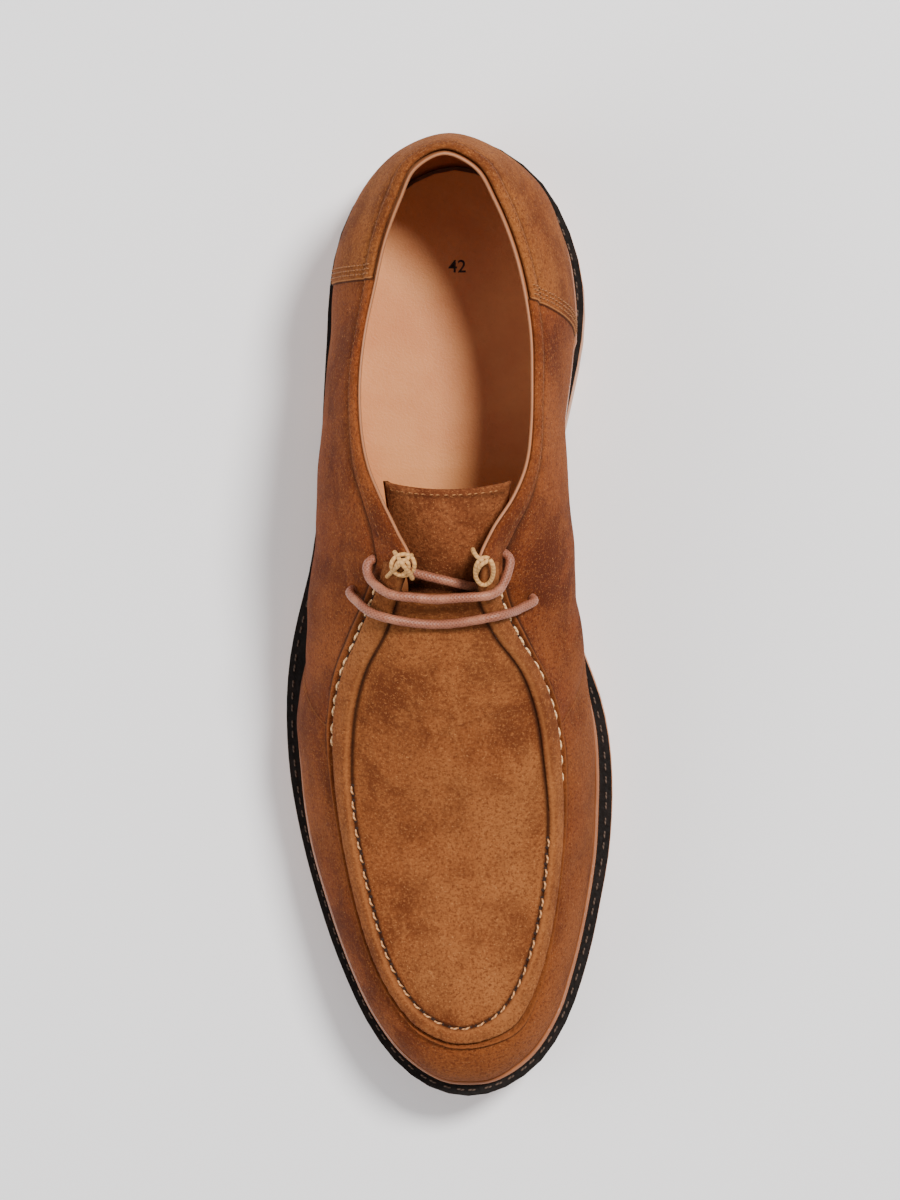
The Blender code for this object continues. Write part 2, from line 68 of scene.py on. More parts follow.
def lamp(name, place, size, power, colour, aim=(0.0, 0.0, 0.05)):
    light = bpy.data.lights.new(name, "AREA")
    light.shape = "DISK"
    light.size = size
    light.energy = power
    light.color = colour
    holder = bpy.data.objects.new(name, light)
    holder.location = place
    holder.rotation_euler = (Vector(aim) - Vector(place)).to_track_quat("-Z", "Y").to_euler()
    bpy.context.scene.collection.objects.link(holder)


lamp("key_lamp", (0.62, 0.52, 1.50), 0.36, 40.0, (1.0, 0.985, 0.965))
lamp("side_lamp", (-1.05, -0.2, 0.95), 1.2, 9.5, (1.0, 1.0, 1.0))

room = bpy.data.worlds.new("room")
room.use_nodes = True
fill = room.node_tree.nodes["Background"]
fill.inputs["Color"].default_value = (0.93, 0.94, 0.96, 1.0)
fill.inputs["Strength"].default_value = FILL_STRENGTH
bpy.context.scene.world = room

bpy.ops.mesh.primitive_plane_add(size=FLOOR_SIZE, location=(0.0, 0.0, 0.0))
floor = bpy.context.object
floor.name = "floor"
paper = bpy.data.materials.new("floor_paper")
paper.use_nodes = True
paper_shader = paper.node_tree.nodes["Principled BSDF"]
paper_shader.inputs["Base Color"].default_value = (0.97, 0.96, 0.966, 1.0)
paper_shader.inputs["Roughness"].default_value = 0.9
floor.data.materials.append(paper)

# --------------------------------------
# Outsole: one moulding in gum rubber with a lugged heel and forefoot. It is cemented to
# the strip above it; its side has a fine moulded skin, paler at the arch than at the toe.


class Paint:
    """Builds one material's nodes; colours and values may be sockets."""

    def __init__(self, name):
        self.material = bpy.data.materials.new(name)
        self.material.use_nodes = True
        self.tree = self.material.node_tree
        self.shader = self.tree.nodes["Principled BSDF"]
        self.place = self.node("ShaderNodeTexCoord").outputs["Object"]

    def plug(self, socket, value):
        if isinstance(value, bpy.types.NodeSocket):
            self.tree.links.new(value, socket)
        elif socket.type == "RGBA" and len(value) == 3:
            socket.default_value = (*value, 1.0)
        else:
            socket.default_value = value

    def node(self, kind, inputs=(), **settings):
        made = self.tree.nodes.new(kind)
        for key, value in settings.items():
            setattr(made, key, value)
        for key, value in dict(inputs).items():
            self.plug(made.inputs[key], value)
        return made

    def stretched(self, scale):
        inputs = {"Vector": self.place, "Scale": scale}
        return self.node("ShaderNodeMapping", inputs).outputs["Vector"]

    def noise(self, scale, detail=4.0, rough=0.6, warp=0.0, where=None):
        inputs = {"Vector": where or self.place, "Scale": scale, "Detail": detail,
                  "Roughness": rough, "Distortion": warp}
        return self.node("ShaderNodeTexNoise", inputs).outputs["Fac"]

    def span(self, value, low, high, to_low=0.0, to_high=1.0):
        """A smooth step from to_low to to_high as the value goes from low to high."""
        inputs = {"Value": value, "From Min": low, "From Max": high,
                  "To Min": to_low, "To Max": to_high}
        step = self.node("ShaderNodeMapRange", inputs, interpolation_type="SMOOTHSTEP")
        return step.outputs["Result"]

    def maths(self, operation, a, b=0.0):
        return self.node("ShaderNodeMath", {0: a, 1: b}, operation=operation).outputs["Value"]

    def mix(self, share, a, b):
        return self.node("ShaderNodeMix", {0: share, 6: a, 7: b}, data_type="RGBA").outputs[2]

    def stored(self, name):
        return self.node("ShaderNodeAttribute", attribute_name=name).outputs["Fac"]

    def coordinate(self, axis):
        return self.node("ShaderNodeSeparateXYZ", {0: self.place}).outputs[axis]

    def around(self):
        """Angle round a thread, from the layers its tube stores."""
        return self.maths("ARCTAN2", self.stored("turn_y"), self.stored("turn_x"))

    def bump(self, height, depth, strength=1.0, under=None):
        inputs = {"Height": height, "Distance": depth, "Strength": strength}
        if under:
            inputs["Normal"] = under
        return self.node("ShaderNodeBump", inputs).outputs["Normal"]

    def finish(self, colour, roughness, normal=None, more=()):
        """Gives the material its values; more holds other inputs by name."""
        inputs = {"Base Color": colour, "Roughness": roughness, **dict(more)}
        if normal:
            inputs["Normal"] = normal
        for name, value in inputs.items():
            self.plug(self.shader.inputs[name], value)
        return self.material


def gum_rubber():
    look = Paint("gum_rubber")
    y = look.coordinate("Y")
    cloud = look.noise(28.0, 3.0, 0.5)
    arch = look.span(y, -0.03, 0.05)
    back = look.span(y, 0.07, 0.12)
    toe = look.span(y, -0.13, -0.06)
    tone = look.mix(toe, (0.36, 0.122, 0.043), (0.47, 0.185, 0.072))
    tone = look.mix(arch, tone, (0.51, 0.225, 0.098))
    tone = look.mix(back, tone, (0.42, 0.155, 0.056))
    tone = look.mix(look.span(cloud, 0.35, 0.7, 0.0, 0.35), tone, (0.38, 0.135, 0.047))
    worn = look.span(look.noise(60.0), 0.3, 0.7, 0.42, 0.56)
    skin = look.bump(look.noise(900.0, 3.0), 0.00008)
    return look.finish(tone, worn, look.bump(look.noise(70.0, 2.0), 0.0003, 0.5, skin),
                       {"Subsurface Weight": 0.12, "Subsurface Radius": (0.004, 0.002, 0.001)})


def coat(name, material):
    """Gives a node of the frame its material and leaves its mesh alone."""
    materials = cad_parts[name].data.materials
    materials.clear()
    materials.append(material)


coat("outsole", gum_rubber())

# --------------------------------------
# Strip: a tan board between rubber and welt, its cut edge sanded and waxed, with fine
# layers that run round it.


def board_edge():
    look = Paint("tan_board_edge")
    layers = look.noise(60.0, 3.0, 0.6, 0.3, look.stretched((1.0, 1.0, 45.0)))
    spots = look.noise(420.0, 3.0)
    tone = look.mix(look.span(layers, 0.35, 0.65), (0.26, 0.145, 0.072), (0.42, 0.255, 0.14))
    tone = look.mix(look.span(spots, 0.5, 0.75, 0.0, 0.6), tone, (0.26, 0.13, 0.07))
    return look.finish(tone, 0.55, look.bump(layers, 0.0003))


coat("midsole", board_edge())

# --------------------------------------
# Welt: a flat dark strip of waxed leather, sewn all round to the strip under it. Its
# stitches are a piece of their own, further down.


def dark_leather():
    look = Paint("dark_welt_leather")
    grain = look.noise(900.0, 4.0, 0.7)
    dust = look.noise(120.0, 4.0, 0.6)
    tone = look.mix(look.span(dust, 0.45, 0.75, 0.0, 0.7),
                    (0.006, 0.0035, 0.0025), (0.022, 0.013, 0.010))
    return look.finish(tone, look.span(grain, 0.3, 0.7, 0.6, 0.85), look.bump(grain, 0.00025),
                       {"Specular IOR Level": 0.18})


coat("welt", dark_leather())

# --------------------------------------
# Insole: a full-length sock of smooth vegetable-tanned leather, glued down inside on the
# board. Its face is polished by wear, with fine pores.


def tan_leather():
    look = Paint("smooth_tan_leather")
    pores = look.noise(1300.0, 3.0, 0.7)
    cloud = look.noise(35.0, 4.0, 0.6)
    tone = look.mix(look.span(cloud, 0.3, 0.7), (0.64, 0.222, 0.066), (0.74, 0.295, 0.095))
    tone = look.mix(look.span(pores, 0.55, 0.8, 0.0, 0.4), tone, (0.48, 0.18, 0.07))
    return look.finish(tone, look.span(pores, 0.3, 0.7, 0.42, 0.6), look.bump(pores, 0.00012))


coat("insole", tan_leather())

# --------------------------------------
# Suede wall: vamp, quarters and heel counter, closed over a last. Its form is four girth
# loops with a row for each of 25 girth lines from heel to toe: foot, girdle, crease and
# topline. In front of the tabs its edge is turned out along the apron seam.

MM = 0.0009567                # the tables' millimetre in metres, at size 42
STATIONS = 24
LOOP = 2 * STATIONS           # places round the shoe, from the heel and back to it
TAB_STATION = 11
THROAT_STATION = 12

# Foot of the wall: y, lateral x, medial x
FOOT = [
    (146.0, 2.2, 2.2),
    (141.5, -12.4, 16.4), (131.0, -23.2, 27.8), (116.5, -30.5, 34.9),
    (101.0, -33.6, 37.6), (86.0, -35.0, 37.7), (71.0, -35.8, 36.0),
    (55.0, -36.5, 33.4), (40.0, -37.2, 31.8), (26.0, -38.2, 31.4),
    (13.0, -39.5, 32.8), (0.0, -41.0, 35.7), (-12.0, -43.2, 38.9),
    (-24.0, -45.6, 41.8), (-37.0, -46.9, 44.9), (-50.0, -46.0, 46.0),
    (-63.0, -44.6, 45.8), (-76.0, -42.0, 45.1), (-89.0, -38.2, 43.3),
    (-102.0, -33.8, 40.8), (-114.0, -29.0, 37.8), (-126.6, -22.6, 33.6),
    (-138.6, -13.4, 26.2), (-145.8, -2.6, 16.0),
    (-147.4, 6.4, 6.4),
]
# Half way up the wall: y, lateral x, medial x, z
GIRDLE = [
    (150.0, 2.4, 2.4, 56.0),
    (145.0, -13.2, 17.4, 56.0), (133.8, -24.4, 30.0, 56.0), (119.0, -31.3, 36.3, 55.0),
    (102.0, -34.6, 39.3, 54.0), (86.0, -36.0, 40.1, 54.0), (71.0, -37.0, 39.2, 55.0),
    (56.0, -38.0, 38.8, 56.5), (42.0, -38.7, 39.2, 57.5), (29.0, -39.5, 40.0, 57.5),
    (17.0, -40.4, 40.5, 56.5), (5.5, -41.0, 41.3, 53.5), (-6.0, -42.4, 42.1, 48.5),
    (-18.5, -44.5, 42.9, 42.5), (-32.0, -46.1, 44.5, 37.5), (-46.0, -45.8, 45.2, 34.0),
    (-60.0, -44.5, 45.4, 32.3), (-73.5, -42.0, 44.9, 31.6), (-87.0, -38.2, 43.1, 32.0),
    (-100.0, -34.0, 40.6, 33.2), (-112.0, -29.2, 37.8, 35.0), (-124.4, -22.9, 33.8, 37.4),
    (-136.0, -14.0, 26.4, 40.0), (-143.8, -3.2, 16.0, 42.0),
    (-145.4, 6.2, 6.2, 42.6),
]
# Collar seam behind, crease under the apron seam in front: y, lateral x, medial x, z
CREASE = [
    (143.8, 2.6, 2.6, 89.6),
    (138.8, -9.2, 14.6, 88.4), (128.8, -15.2, 21.0, 85.4), (116.0, -19.8, 26.2, 82.2),
    (102.0, -22.9, 29.7, 80.6), (87.0, -26.0, 32.0, 80.4), (72.0, -27.4, 32.6, 82.6),
    (57.0, -26.9, 32.5, 87.0), (44.5, -25.0, 31.2, 91.2), (34.0, -22.0, 28.2, 94.4),
    (25.0, -19.4, 23.8, 96.2), (15.6, -18.8, 20.4, 93.6), (5.0, -22.8, 21.8, 84.4),
    (-6.5, -28.6, 27.0, 74.6), (-19.0, -33.8, 33.0, 65.6), (-34.0, -36.3, 37.4, 58.0),
    (-50.0, -35.6, 38.4, 53.4), (-66.0, -33.4, 38.0, 50.4), (-81.0, -30.8, 36.7, 48.7),
    (-95.0, -27.4, 34.8, 47.9), (-107.5, -23.2, 32.5, 48.0), (-119.4, -17.0, 29.2, 49.0),
    (-129.6, -8.8, 23.8, 50.6), (-134.0, -0.8, 14.8, 51.8),
    (-135.2, 5.6, 5.6, 52.2),
]
# Collar edge behind, tab tip, then inner edge of the apron seam: y, lateral x, medial x, z
TOPLINE = [
    (141.6, 2.6, 2.6, 94.6),
    (136.6, -7.4, 13.0, 93.4), (127.0, -12.4, 18.7, 90.4), (115.0, -17.2, 23.7, 87.0),
    (102.0, -20.4, 27.3, 85.3), (87.0, -23.6, 29.7, 85.2), (72.5, -25.0, 30.2, 87.4),
    (58.0, -24.3, 30.1, 91.8), (46.0, -21.8, 28.8, 96.6), (35.6, -17.3, 24.8, 101.2),
    (26.0, -12.4, 18.9, 105.4), (16.4, -7.9, 15.0, 108.8), (7.0, -10.8, 13.0, 97.4),
    (-5.0, -15.9, 17.0, 86.4), (-17.0, -22.7, 25.3, 77.4), (-31.0, -26.8, 29.9, 69.2),
    (-47.0, -28.2, 32.0, 63.4), (-63.0, -27.5, 33.2, 59.6), (-78.0, -25.1, 32.4, 57.2),
    (-92.0, -22.0, 30.6, 55.9), (-104.0, -18.5, 27.7, 55.2), (-114.5, -13.8, 23.8, 54.9),
    (-122.8, -7.6, 18.6, 54.9), (-127.4, -0.8, 12.0, 55.1),
    (-128.9, 5.4, 5.4, 55.2),
]
# Ridge of the apron along its middle: y, z
APRON_RIDGE = [
    (16.0, 96.6), (7.0, 93.8), (-5.0, 89.0), (-17.0, 83.8), (-31.0, 78.4), (-45.0, 72.6),
    (-58.0, 66.6), (-70.0, 62.4), (-84.0, 60.3), (-100.0, 58.9), (-114.0, 57.6), (-130.0, 55.6),
]
# Top of the rubber, under strip and welt: y, z
RUBBER_TOP = [
    (154.0, 21.8), (128.0, 21.4), (92.0, 21.3), (66.0, 20.7), (48.0, 19.8), (30.0, 17.5),
    (13.0, 14.7), (-5.0, 12.1), (-23.0, 10.5), (-40.0, 10.1), (-58.0, 10.7), (-76.0, 12.1),
    (-94.0, 14.2), (-112.0, 16.8), (-129.0, 20.2), (-154.0, 25.2),
]
SEAT_ABOVE_RUBBER = 3.8       # strip with its glue lines, mm


def through(p0, p1, p2, p3, t):
    """A smooth curve from p1 to p2."""
    return 0.5 * (
        2 * p1 + (p2 - p0) * t + (2 * p0 - 5 * p1 + 4 * p2 - p3) * t ** 2
        + (3 * p1 - p0 - 3 * p2 + p3) * t ** 3
    )


def height_at(table, y):
    """Height at y in mm of a table with rows (y, z) running from heel to toe."""
    if y >= table[0][0]:
        return table[0][1]
    if y <= table[-1][0]:
        return table[-1][1]
    i = next(k for k in range(len(table) - 1) if y >= table[k + 1][0])
    before = table[max(i - 1, 0)][1]
    after = table[min(i + 2, len(table) - 1)][1]
    t = (table[i][0] - y) / (table[i][0] - table[i + 1][0])
    return through(before, table[i][1], table[i + 1][1], after, t)


def control_loop(table):
    """Closed loop in mm: down the lateral side to the toe and back up the medial side."""
    heights = [row[3] if len(row) > 3 else 0.0 for row in table]
    lateral = [Vector((row[1], row[0], z)) for row, z in zip(table, heights)]
    medial = [Vector((row[2], row[0], z)) for row, z in zip(table, heights)]
    return lateral + medial[-2:0:-1]


def loop_point(loop, place):
    i = math.floor(place)
    points = [loop[(i + k) % LOOP] for k in (-1, 0, 1, 2)]
    return through(*points, place - i)


foot_loop = control_loop(FOOT)
girdle_loop = control_loop(GIRDLE)
crease_loop = control_loop(CREASE)
topline_loop = control_loop(TOPLINE)


def seat_height(y):
    return height_at(RUBBER_TOP, y) + SEAT_ABOVE_RUBBER


def wall_point(place, level):
    """The wall's outer face in mm: level 0 is its foot, 1 the crease, 2 the topline."""
    foot = loop_point(foot_loop, place)
    foot.z = seat_height(foot.y)
    crease = loop_point(crease_loop, place)
    if level > 1:
        return crease.lerp(loop_point(topline_loop, place), level - 1)
    bend = 2 * loop_point(girdle_loop, place) - 0.5 * (foot + crease)
    return (1 - level) ** 2 * foot + 2 * level * (1 - level) * bend + level ** 2 * crease


def ease(value, low, high):
    """0 below low, 1 above high, smooth between."""
    t = min(max((value - low) / (high - low), 0.0), 1.0)
    return t * t * (3 - 2 * t)


def grid_faces(count, rings, closed=False, ringed=False):
    """Faces between count rows of rings points; either way may close on itself."""
    faces = []
    for i in range(count if closed else count - 1):
        j = (i + 1) % count
        for k in range(rings if ringed else rings - 1):
            m = (k + 1) % rings
            faces.append([i * rings + k, i * rings + m, j * rings + m, j * rings + k])
    return faces


def mesh_from(name, points, faces, look):
    """A smooth mesh of points in the tables' mm, with one material."""
    mesh = bpy.data.meshes.new(name)
    mesh.from_pydata([tuple(p * MM) for p in points], [], faces)
    made = bpy.data.objects.new(name, mesh)
    bpy.context.scene.collection.objects.link(made)
    mesh.materials.append(look)
    mesh.shade_smooth()
    return made


def suede(name, deep, body, light, seams=()):
    """Brushed suede: cloudy nap, felted grain with pale fibre tips, paler where it is rubbed
    and where a highlight is painted on raised edges, with painted shade in grooves.

    Each seam is a layer that holds the distance to it in mm, how strongly its cut edge
    is drawn, and the colours of the panel past it. The edge is drawn as painted shade at
    the foot of the step and a pale raw edge with a painted highlight on its top.
    """
    look = Paint(name)
    lines = []
    for layer, strength, *panel in seams:
        past = look.stored(layer)
        share = look.span(past, -0.05, 0.05)
        deep, body, light = (look.mix(share, a, b) for a, b in zip((deep, body, light), panel))
        # Painted shade at the step's foot, and a pale raw edge with a painted highlight on top
        before = look.maths("ABSOLUTE", look.maths("ADD", past, 0.25))
        behind = look.maths("ABSOLUTE", look.maths("SUBTRACT", past, 0.2))
        lines.append((look.span(before, 0.05, 0.5, 0.85 * strength, 0.0),
                      look.span(behind, 0.02, 0.28, 0.6 * strength, 0.0)))
    cloud = look.noise(58.0, 8.0, 0.68, 0.5)
    drift = look.noise(21.0, 4.0, 0.55, 0.3)
    streak = look.noise(150.0, 6.0, 0.7, 0.6, look.stretched((1.0, 0.4, 0.6)))
    grain = look.noise(1150.0, 3.0, 0.8)
    tips = look.noise(1900.0, 2.0, 0.7)
    tone = look.mix(look.span(cloud, 0.40, 0.61), deep, body)
    tone = look.mix(look.span(drift, 0.42, 0.68, 0.0, 0.8), tone, light)
    tone = look.mix(look.span(streak, 0.5, 0.72, 0.0, 0.55), tone, light)
    tone = look.mix(look.span(grain, 0.36, 0.52, 0.8, 0.0), tone, deep)
    tone = look.mix(look.span(grain, 0.54, 0.68, 0.0, 0.8), tone, light)
    tone = look.mix(look.span(tips, 0.6, 0.74, 0.0, 0.55), tone, (0.52, 0.235, 0.085))
    # Raised edges: paler rubbed nap with a painted highlight
    tone = look.mix(look.span(look.stored("rub_and_highlight"), 0.0, 1.0, 0.0, 0.5), tone, light)
    # Painted shade in grooves, creases and seams
    dark = (0.03, 0.007, 0.002)
    tone = look.mix(look.span(look.stored("painted_shade"), 0.0, 1.0, 0.0, 0.9), tone, dark)
    for shade, cut in lines:
        tone = look.mix(cut, tone, (0.48, 0.20, 0.07))
        tone = look.mix(shade, tone, dark)
    nap = look.bump(grain, 0.00045, 0.8)
    return look.finish(tone, 0.92, look.bump(streak, 0.0009, 0.45, nap), {
        "Specular IOR Level": 0.12, "Sheen Weight": 0.035, "Sheen Roughness": 0.5,
        "Sheen Tint": (0.8, 0.36, 0.14),
    })


COUNTER_TOP = {-1: 103.1, 1: 97.4}        # the counter's front edge at the collar, y by side
COUNTER_SLANT = {-1: -0.037, 1: 0.19}     # and how far it runs forward for each mm down
COUNTER_STEP = 0.75
SIDE_SEAM = ((-9.0, 22.0), (-34.5, 58.5))  # vamp's back edge on both walls: y, z
VAMP_STEP = 0.35
STEP_REACH = 0.35             # mm on each side over which a step rises
LAYER_REACH = 4.0             # farthest distance to a seam that is stored
COLLAR_HEIGHT = 88.0

# Soft creases and dents: points x, y, z, then width, depth in mm (below 0 is a ridge)
CREASES = [
    (((-42, 24, 38), (-39, 20, 58), (-31, 14, 78)), 7.0, 0.7),
    (((-43, 6, 34), (-42, 3, 52)), 6.0, -0.6),
    (((-46, -14, 30), (-44, -22, 46), (-37, -26, 58)), 5.0, 0.7),
    (((-47, -34, 28), (-44, -42, 44)), 7.0, -0.5),
    (((-44, -64, 32), (-39, -70, 44)), 6.0, 0.5),
    (((43, 8, 40), (40, -2, 56), (34, -10, 68)), 6.0, 0.8),
    (((42, 24, 46), (38, 20, 66), (30, 16, 82)), 7.0, -0.6),
    (((45, -18, 34), (43, -28, 46), (39, -34, 56)), 4.5, 1.0),
    (((46, -46, 32), (43, -52, 44)), 7.0, -0.5),
    (((44, -74, 32), (40, -82, 42)), 6.0, 0.6),
    (((-34, 88, 40), (-34, 92, 60), (-28, 90, 76)), 9.0, 0.7),
    (((39, 60, 44), (39, 64, 62), (34, 62, 78)), 9.0, 0.8),
    (((-24, 124, 50), (-22, 126, 72)), 8.0, 0.5),
    (((30, 122, 46), (26, 122, 72)), 9.0, 0.6),
    (((-37, 46, 50), (-34, 44, 70), (-27, 42, 86)), 8.0, -0.6),
    (((-14, -118, 40), (4, -134, 44), (20, -126, 42)), 6.0, -0.5),
]


def side_of(place):
    return -1 if place < STATIONS else 1


def past_side_seam(point):
    """How far in mm a point lies on the toe side of the vamp's back edge."""
    (y0, z0), (y1, z1) = SIDE_SEAM
    length = math.hypot(y1 - y0, z1 - z0)
    return -((z1 - z0) * (point.y - y0) - (y1 - y0) * (point.z - z0)) / length


def past_counter(place, point):
    """How far in mm a point lies behind the heel counter's front edge."""
    side = side_of(place)
    return point.y - (COUNTER_TOP[side] - COUNTER_SLANT[side] * (COLLAR_HEIGHT - point.z))


def crease_relief(point, creases):
    """Relief in mm at a point, from all the creases near it."""
    total = 0.0
    for path, width, depth in creases:
        reach = 3 * width
        near = 1e9
        for a, b in zip(path, path[1:]):
            a, b = Vector(a), Vector(b)
            if abs(point.y - a.y) > reach + 30 or (point.x > 0) != (a.x > 0) and abs(a.x) > 20:
                continue
            t = min(max((point - a).dot(b - a) / (b - a).length_squared, 0.0), 1.0)
            near = min(near, (point - a.lerp(b, t)).length)
        if near < reach:
            total -= depth * math.exp(-(near / width) ** 2)
    return total


def gather(place):
    """Uneven pull of the seam's stitches, strongest round the toe, about -1 to 1."""
    waves = ((1.0, 17.3, 0.0), (0.6, 28.9, 1.1), (0.5, 9.7, 0.4))
    return sum(high * math.sin(rate * place + start) for high, rate, start in waves) / 2.1


def toe_share(place):
    return ease(min(place, LOOP - place), 17.5, 22.0)


def front_share(place):
    return ease(min(place, LOOP - place), TAB_STATION - 0.3, TAB_STATION + 0.9)


VALLEY = 0.27                 # share across the seam strip where wall and apron meet


def flange_height(place, share):
    """The wall's edge, turned out along the seam; wavy and drooping at the toe."""
    toe = toe_share(place)
    middle = 0.12 - 0.02 * toe + 0.03 * toe * gather(place)
    high = 1.25 + toe * (0.15 + 0.35 * gather(place))
    lip = high * math.exp(-abs((share - middle) / 0.068) ** 2.6)
    return front_share(place) * (lip - 0.35 * math.exp(-((share - VALLEY) / 0.05) ** 2))


def band_height(place, share):
    """The apron's rolled edge: steep sides and a nearly flat, slightly uneven top."""
    toe = toe_share(place)
    across = min(max((share - 0.30) / 0.68, 0.0), 1.0)
    top = (1 - abs(2 * across - 1) ** 4.0) ** 0.5
    pull = 0.10 * gather(place + 0.11) + toe * 0.16 * gather(0.8 * place)
    return (2.1 + pull) * top - 0.45 * (1 - ease(across, 0.0, 0.12)) - 0.5 * ease(across, 0.9, 1.0)


def bell(value, middle, width):
    return math.exp(-((value - middle) / width) ** 2)


def surface_mesh(name, points, faces, relief, layers, look, thick=1.2):
    """Sheet raised along its own normals by its relief, with stored layers, made thick."""
    made = mesh_from(name, points, faces, look)
    work = bmesh.new()
    work.from_mesh(made.data)
    bmesh.ops.recalc_face_normals(work, faces=work.faces)
    middle = Vector((0, 0, 0.045))
    votes = sum(1 if f.normal.dot(f.calc_center_median() - middle) > 0 else -1 for f in work.faces)
    if votes < 0:
        bmesh.ops.reverse_faces(work, faces=work.faces)
    work.to_mesh(made.data)
    work.free()
    normals = [v.normal.copy() for v in made.data.vertices]
    for vertex, normal, high in zip(made.data.vertices, normals, relief):
        vertex.co += normal * high * MM
    for key, values in layers.items():
        layer = made.data.attributes.new(key, "FLOAT", "POINT")
        layer.data.foreach_set("value", values)
    shell = made.modifiers.new("leather", "SOLIDIFY")
    shell.thickness = thick * MM
    shell.offset = -1.0
    return made


def span_places(low, high, step):
    count = round((high - low) / step)
    return [low + (high - low) * k / count for k in range(count)]


WALL_ROWS = 46
# Places round the wall: from, to, step; finer at the counter's edges and the tabs
WALL_SPANS = [
    (0.0, 3.3, 0.1), (3.3, 4.4, 0.035), (4.4, 10.3, 0.1), (10.3, 15.3, 0.05),
    (15.3, 32.7, 0.08), (32.7, 37.8, 0.05), (37.8, 43.2, 0.1), (43.2, 44.6, 0.035),
    (44.6, 48.0, 0.1),
]
wall_columns = []
for low, high, step in WALL_SPANS:
    wall_columns += span_places(low, high, step)
wall_levels = [-0.03 + 1.03 * k / WALL_ROWS for k in range(WALL_ROWS + 1)]
flange_shares = [0.03, 0.055, 0.08, 0.10, 0.12, 0.14, 0.165, 0.19, 0.215, 0.24, VALLEY + 0.02]


def flange_reach(place):
    """Behind the tabs the wall's last rows spread over the whole collar edge."""
    station = min(place, LOOP - place)
    full = 1 / flange_shares[-1]
    return full + (1 - full) * ease(station, TAB_STATION, THROAT_STATION)


# Where the lace goes in: side, station and level of each hole
LACE_HOLES = {
    "upper_lateral": (-1, 10.78, 0.99),
    "upper_medial": (1, 10.64, 1.02),
    "lower_lateral": (-1, 11.46, 0.90),
    "lower_medial": (1, 11.62, 0.87),
}
HOLE_WIDTH = 1.9
HOLE_DEPTH = 0.7
MEDIAL_SHADE = 33.0           # place of the darkest painted shadow on the inner side's wall
MEDIAL_SHADE_WIDTH = 6.0


def place_of(side, station):
    """Place round the shoe of a station counted from the heel, by side."""
    return station if side < 0 else LOOP - station


def outward_at(place, level):
    """The wall's outward normal."""
    along = wall_point(place + 0.05, level) - wall_point(place - 0.05, level)
    up = wall_point(place, level + 0.02) - wall_point(place, level - 0.02)
    return along.cross(up).normalized()


def beside_holes(point):
    """1 in the middle of a lace hole, falling to 0 around it."""
    near = min((point - centre).length for centre in hole_centres)
    return bell(near, 0.0, HOLE_WIDTH)


hole_centres = []
for side, station, level in LACE_HOLES.values():
    hole_centres.append(wall_point(place_of(side, station), level))


def counter_lift(place, point):
    return COUNTER_STEP * ease(past_counter(place, point), -STEP_REACH, STEP_REACH)


def wall_lift(place, level, point):
    """How far the suede stands off the wall's plain form, in mm."""
    front = front_share(place)
    share = max(level - 1, 0.0)
    vamp = past_side_seam(point)
    lift = counter_lift(place, point) + crease_relief(point, CREASES)
    if front > 0 or vamp > 0:
        lift += VAMP_STEP * ease(vamp, -STEP_REACH, STEP_REACH) * (1 - ease(level, 0.9, 1.0))
    if share > 0:
        lift += flange_height(place, share)
    if share > 0 or level > 0.9:
        lift += (1 - front) * (0.7 * bell(share, 0.55, 0.36) - 0.45 * bell(level, 1.0, 0.02))
    return lift - HOLE_DEPTH * beside_holes(point)


def kept_near(distance):
    """A distance as it is stored for the suede's cut edges."""
    return min(max(distance, -LAYER_REACH), LAYER_REACH)


def wall_and_counter():
    points, relief, rub_and_highlight, painted_shade, counter, vamp = [], [], [], [], [], []
    for s in wall_columns:
        reach = flange_reach(s)
        front = front_share(s)
        back = 1 - front
        for level in wall_levels + [1 + share * reach for share in flange_shares]:
            point = wall_point(s, level)
            share = max(level - 1, 0.0)
            points.append(point)
            relief.append(wall_lift(s, level, point))
            counter.append(kept_near(past_counter(s, point)))
            vamp.append(kept_near(past_side_seam(point)) if level < 0.99
                        else -LAYER_REACH * (front < 0.5))
            # Rubbed nap with a painted highlight on the turned-out edge and the collar's top edge;
            # painted shade in the crease, the seam valley and round the lace holes
            rub_and_highlight.append(front * bell(share, 0.125, 0.035) + 0.35 * back * bell(share, 0.95, 0.1))
            # Painted shadow on the inner wall's ball and toe, darkest low down
            shade = bell(s, MEDIAL_SHADE, MEDIAL_SHADE_WIDTH) * (1 - 0.5 * min(level, 1.2))
            painted_shade.append(front * (bell(level, 1.0, 0.018) + bell(share, VALLEY, 0.05))
                          + 0.7 * back * bell(level, 1.0, 0.012) + beside_holes(point) ** 2
                          + 0.3 * shade)
    faces = grid_faces(len(wall_columns), len(wall_levels) + len(flange_shares), closed=True)
    layers = {"rub_and_highlight": rub_and_highlight, "painted_shade": painted_shade, "past_counter": counter, "past_vamp": vamp}
    return points, faces, relief, layers


wall_suede = suede(
    "wall_suede", (0.080, 0.0140, 0.0034), (0.168, 0.036, 0.0082), (0.245, 0.067, 0.016),
    (("past_vamp", 0.3, (0.084, 0.0156, 0.0037), (0.175, 0.040, 0.0092), (0.252, 0.073, 0.018)),
     ("past_counter", 1.0, (0.097, 0.0205, 0.0047), (0.198, 0.053, 0.012), (0.29, 0.096, 0.024))),
)
points, faces, relief, layers = wall_and_counter()
wall = surface_mesh("suede_wall", points, faces, relief, layers, wall_suede)
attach(wall, "root")
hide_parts("upper")

# --------------------------------------
# Apron: the plug over the instep and toe. Its edge is rolled up over the wall's edge and
# sewn through, which leaves the raised band; a sharp groove parts band and plug.

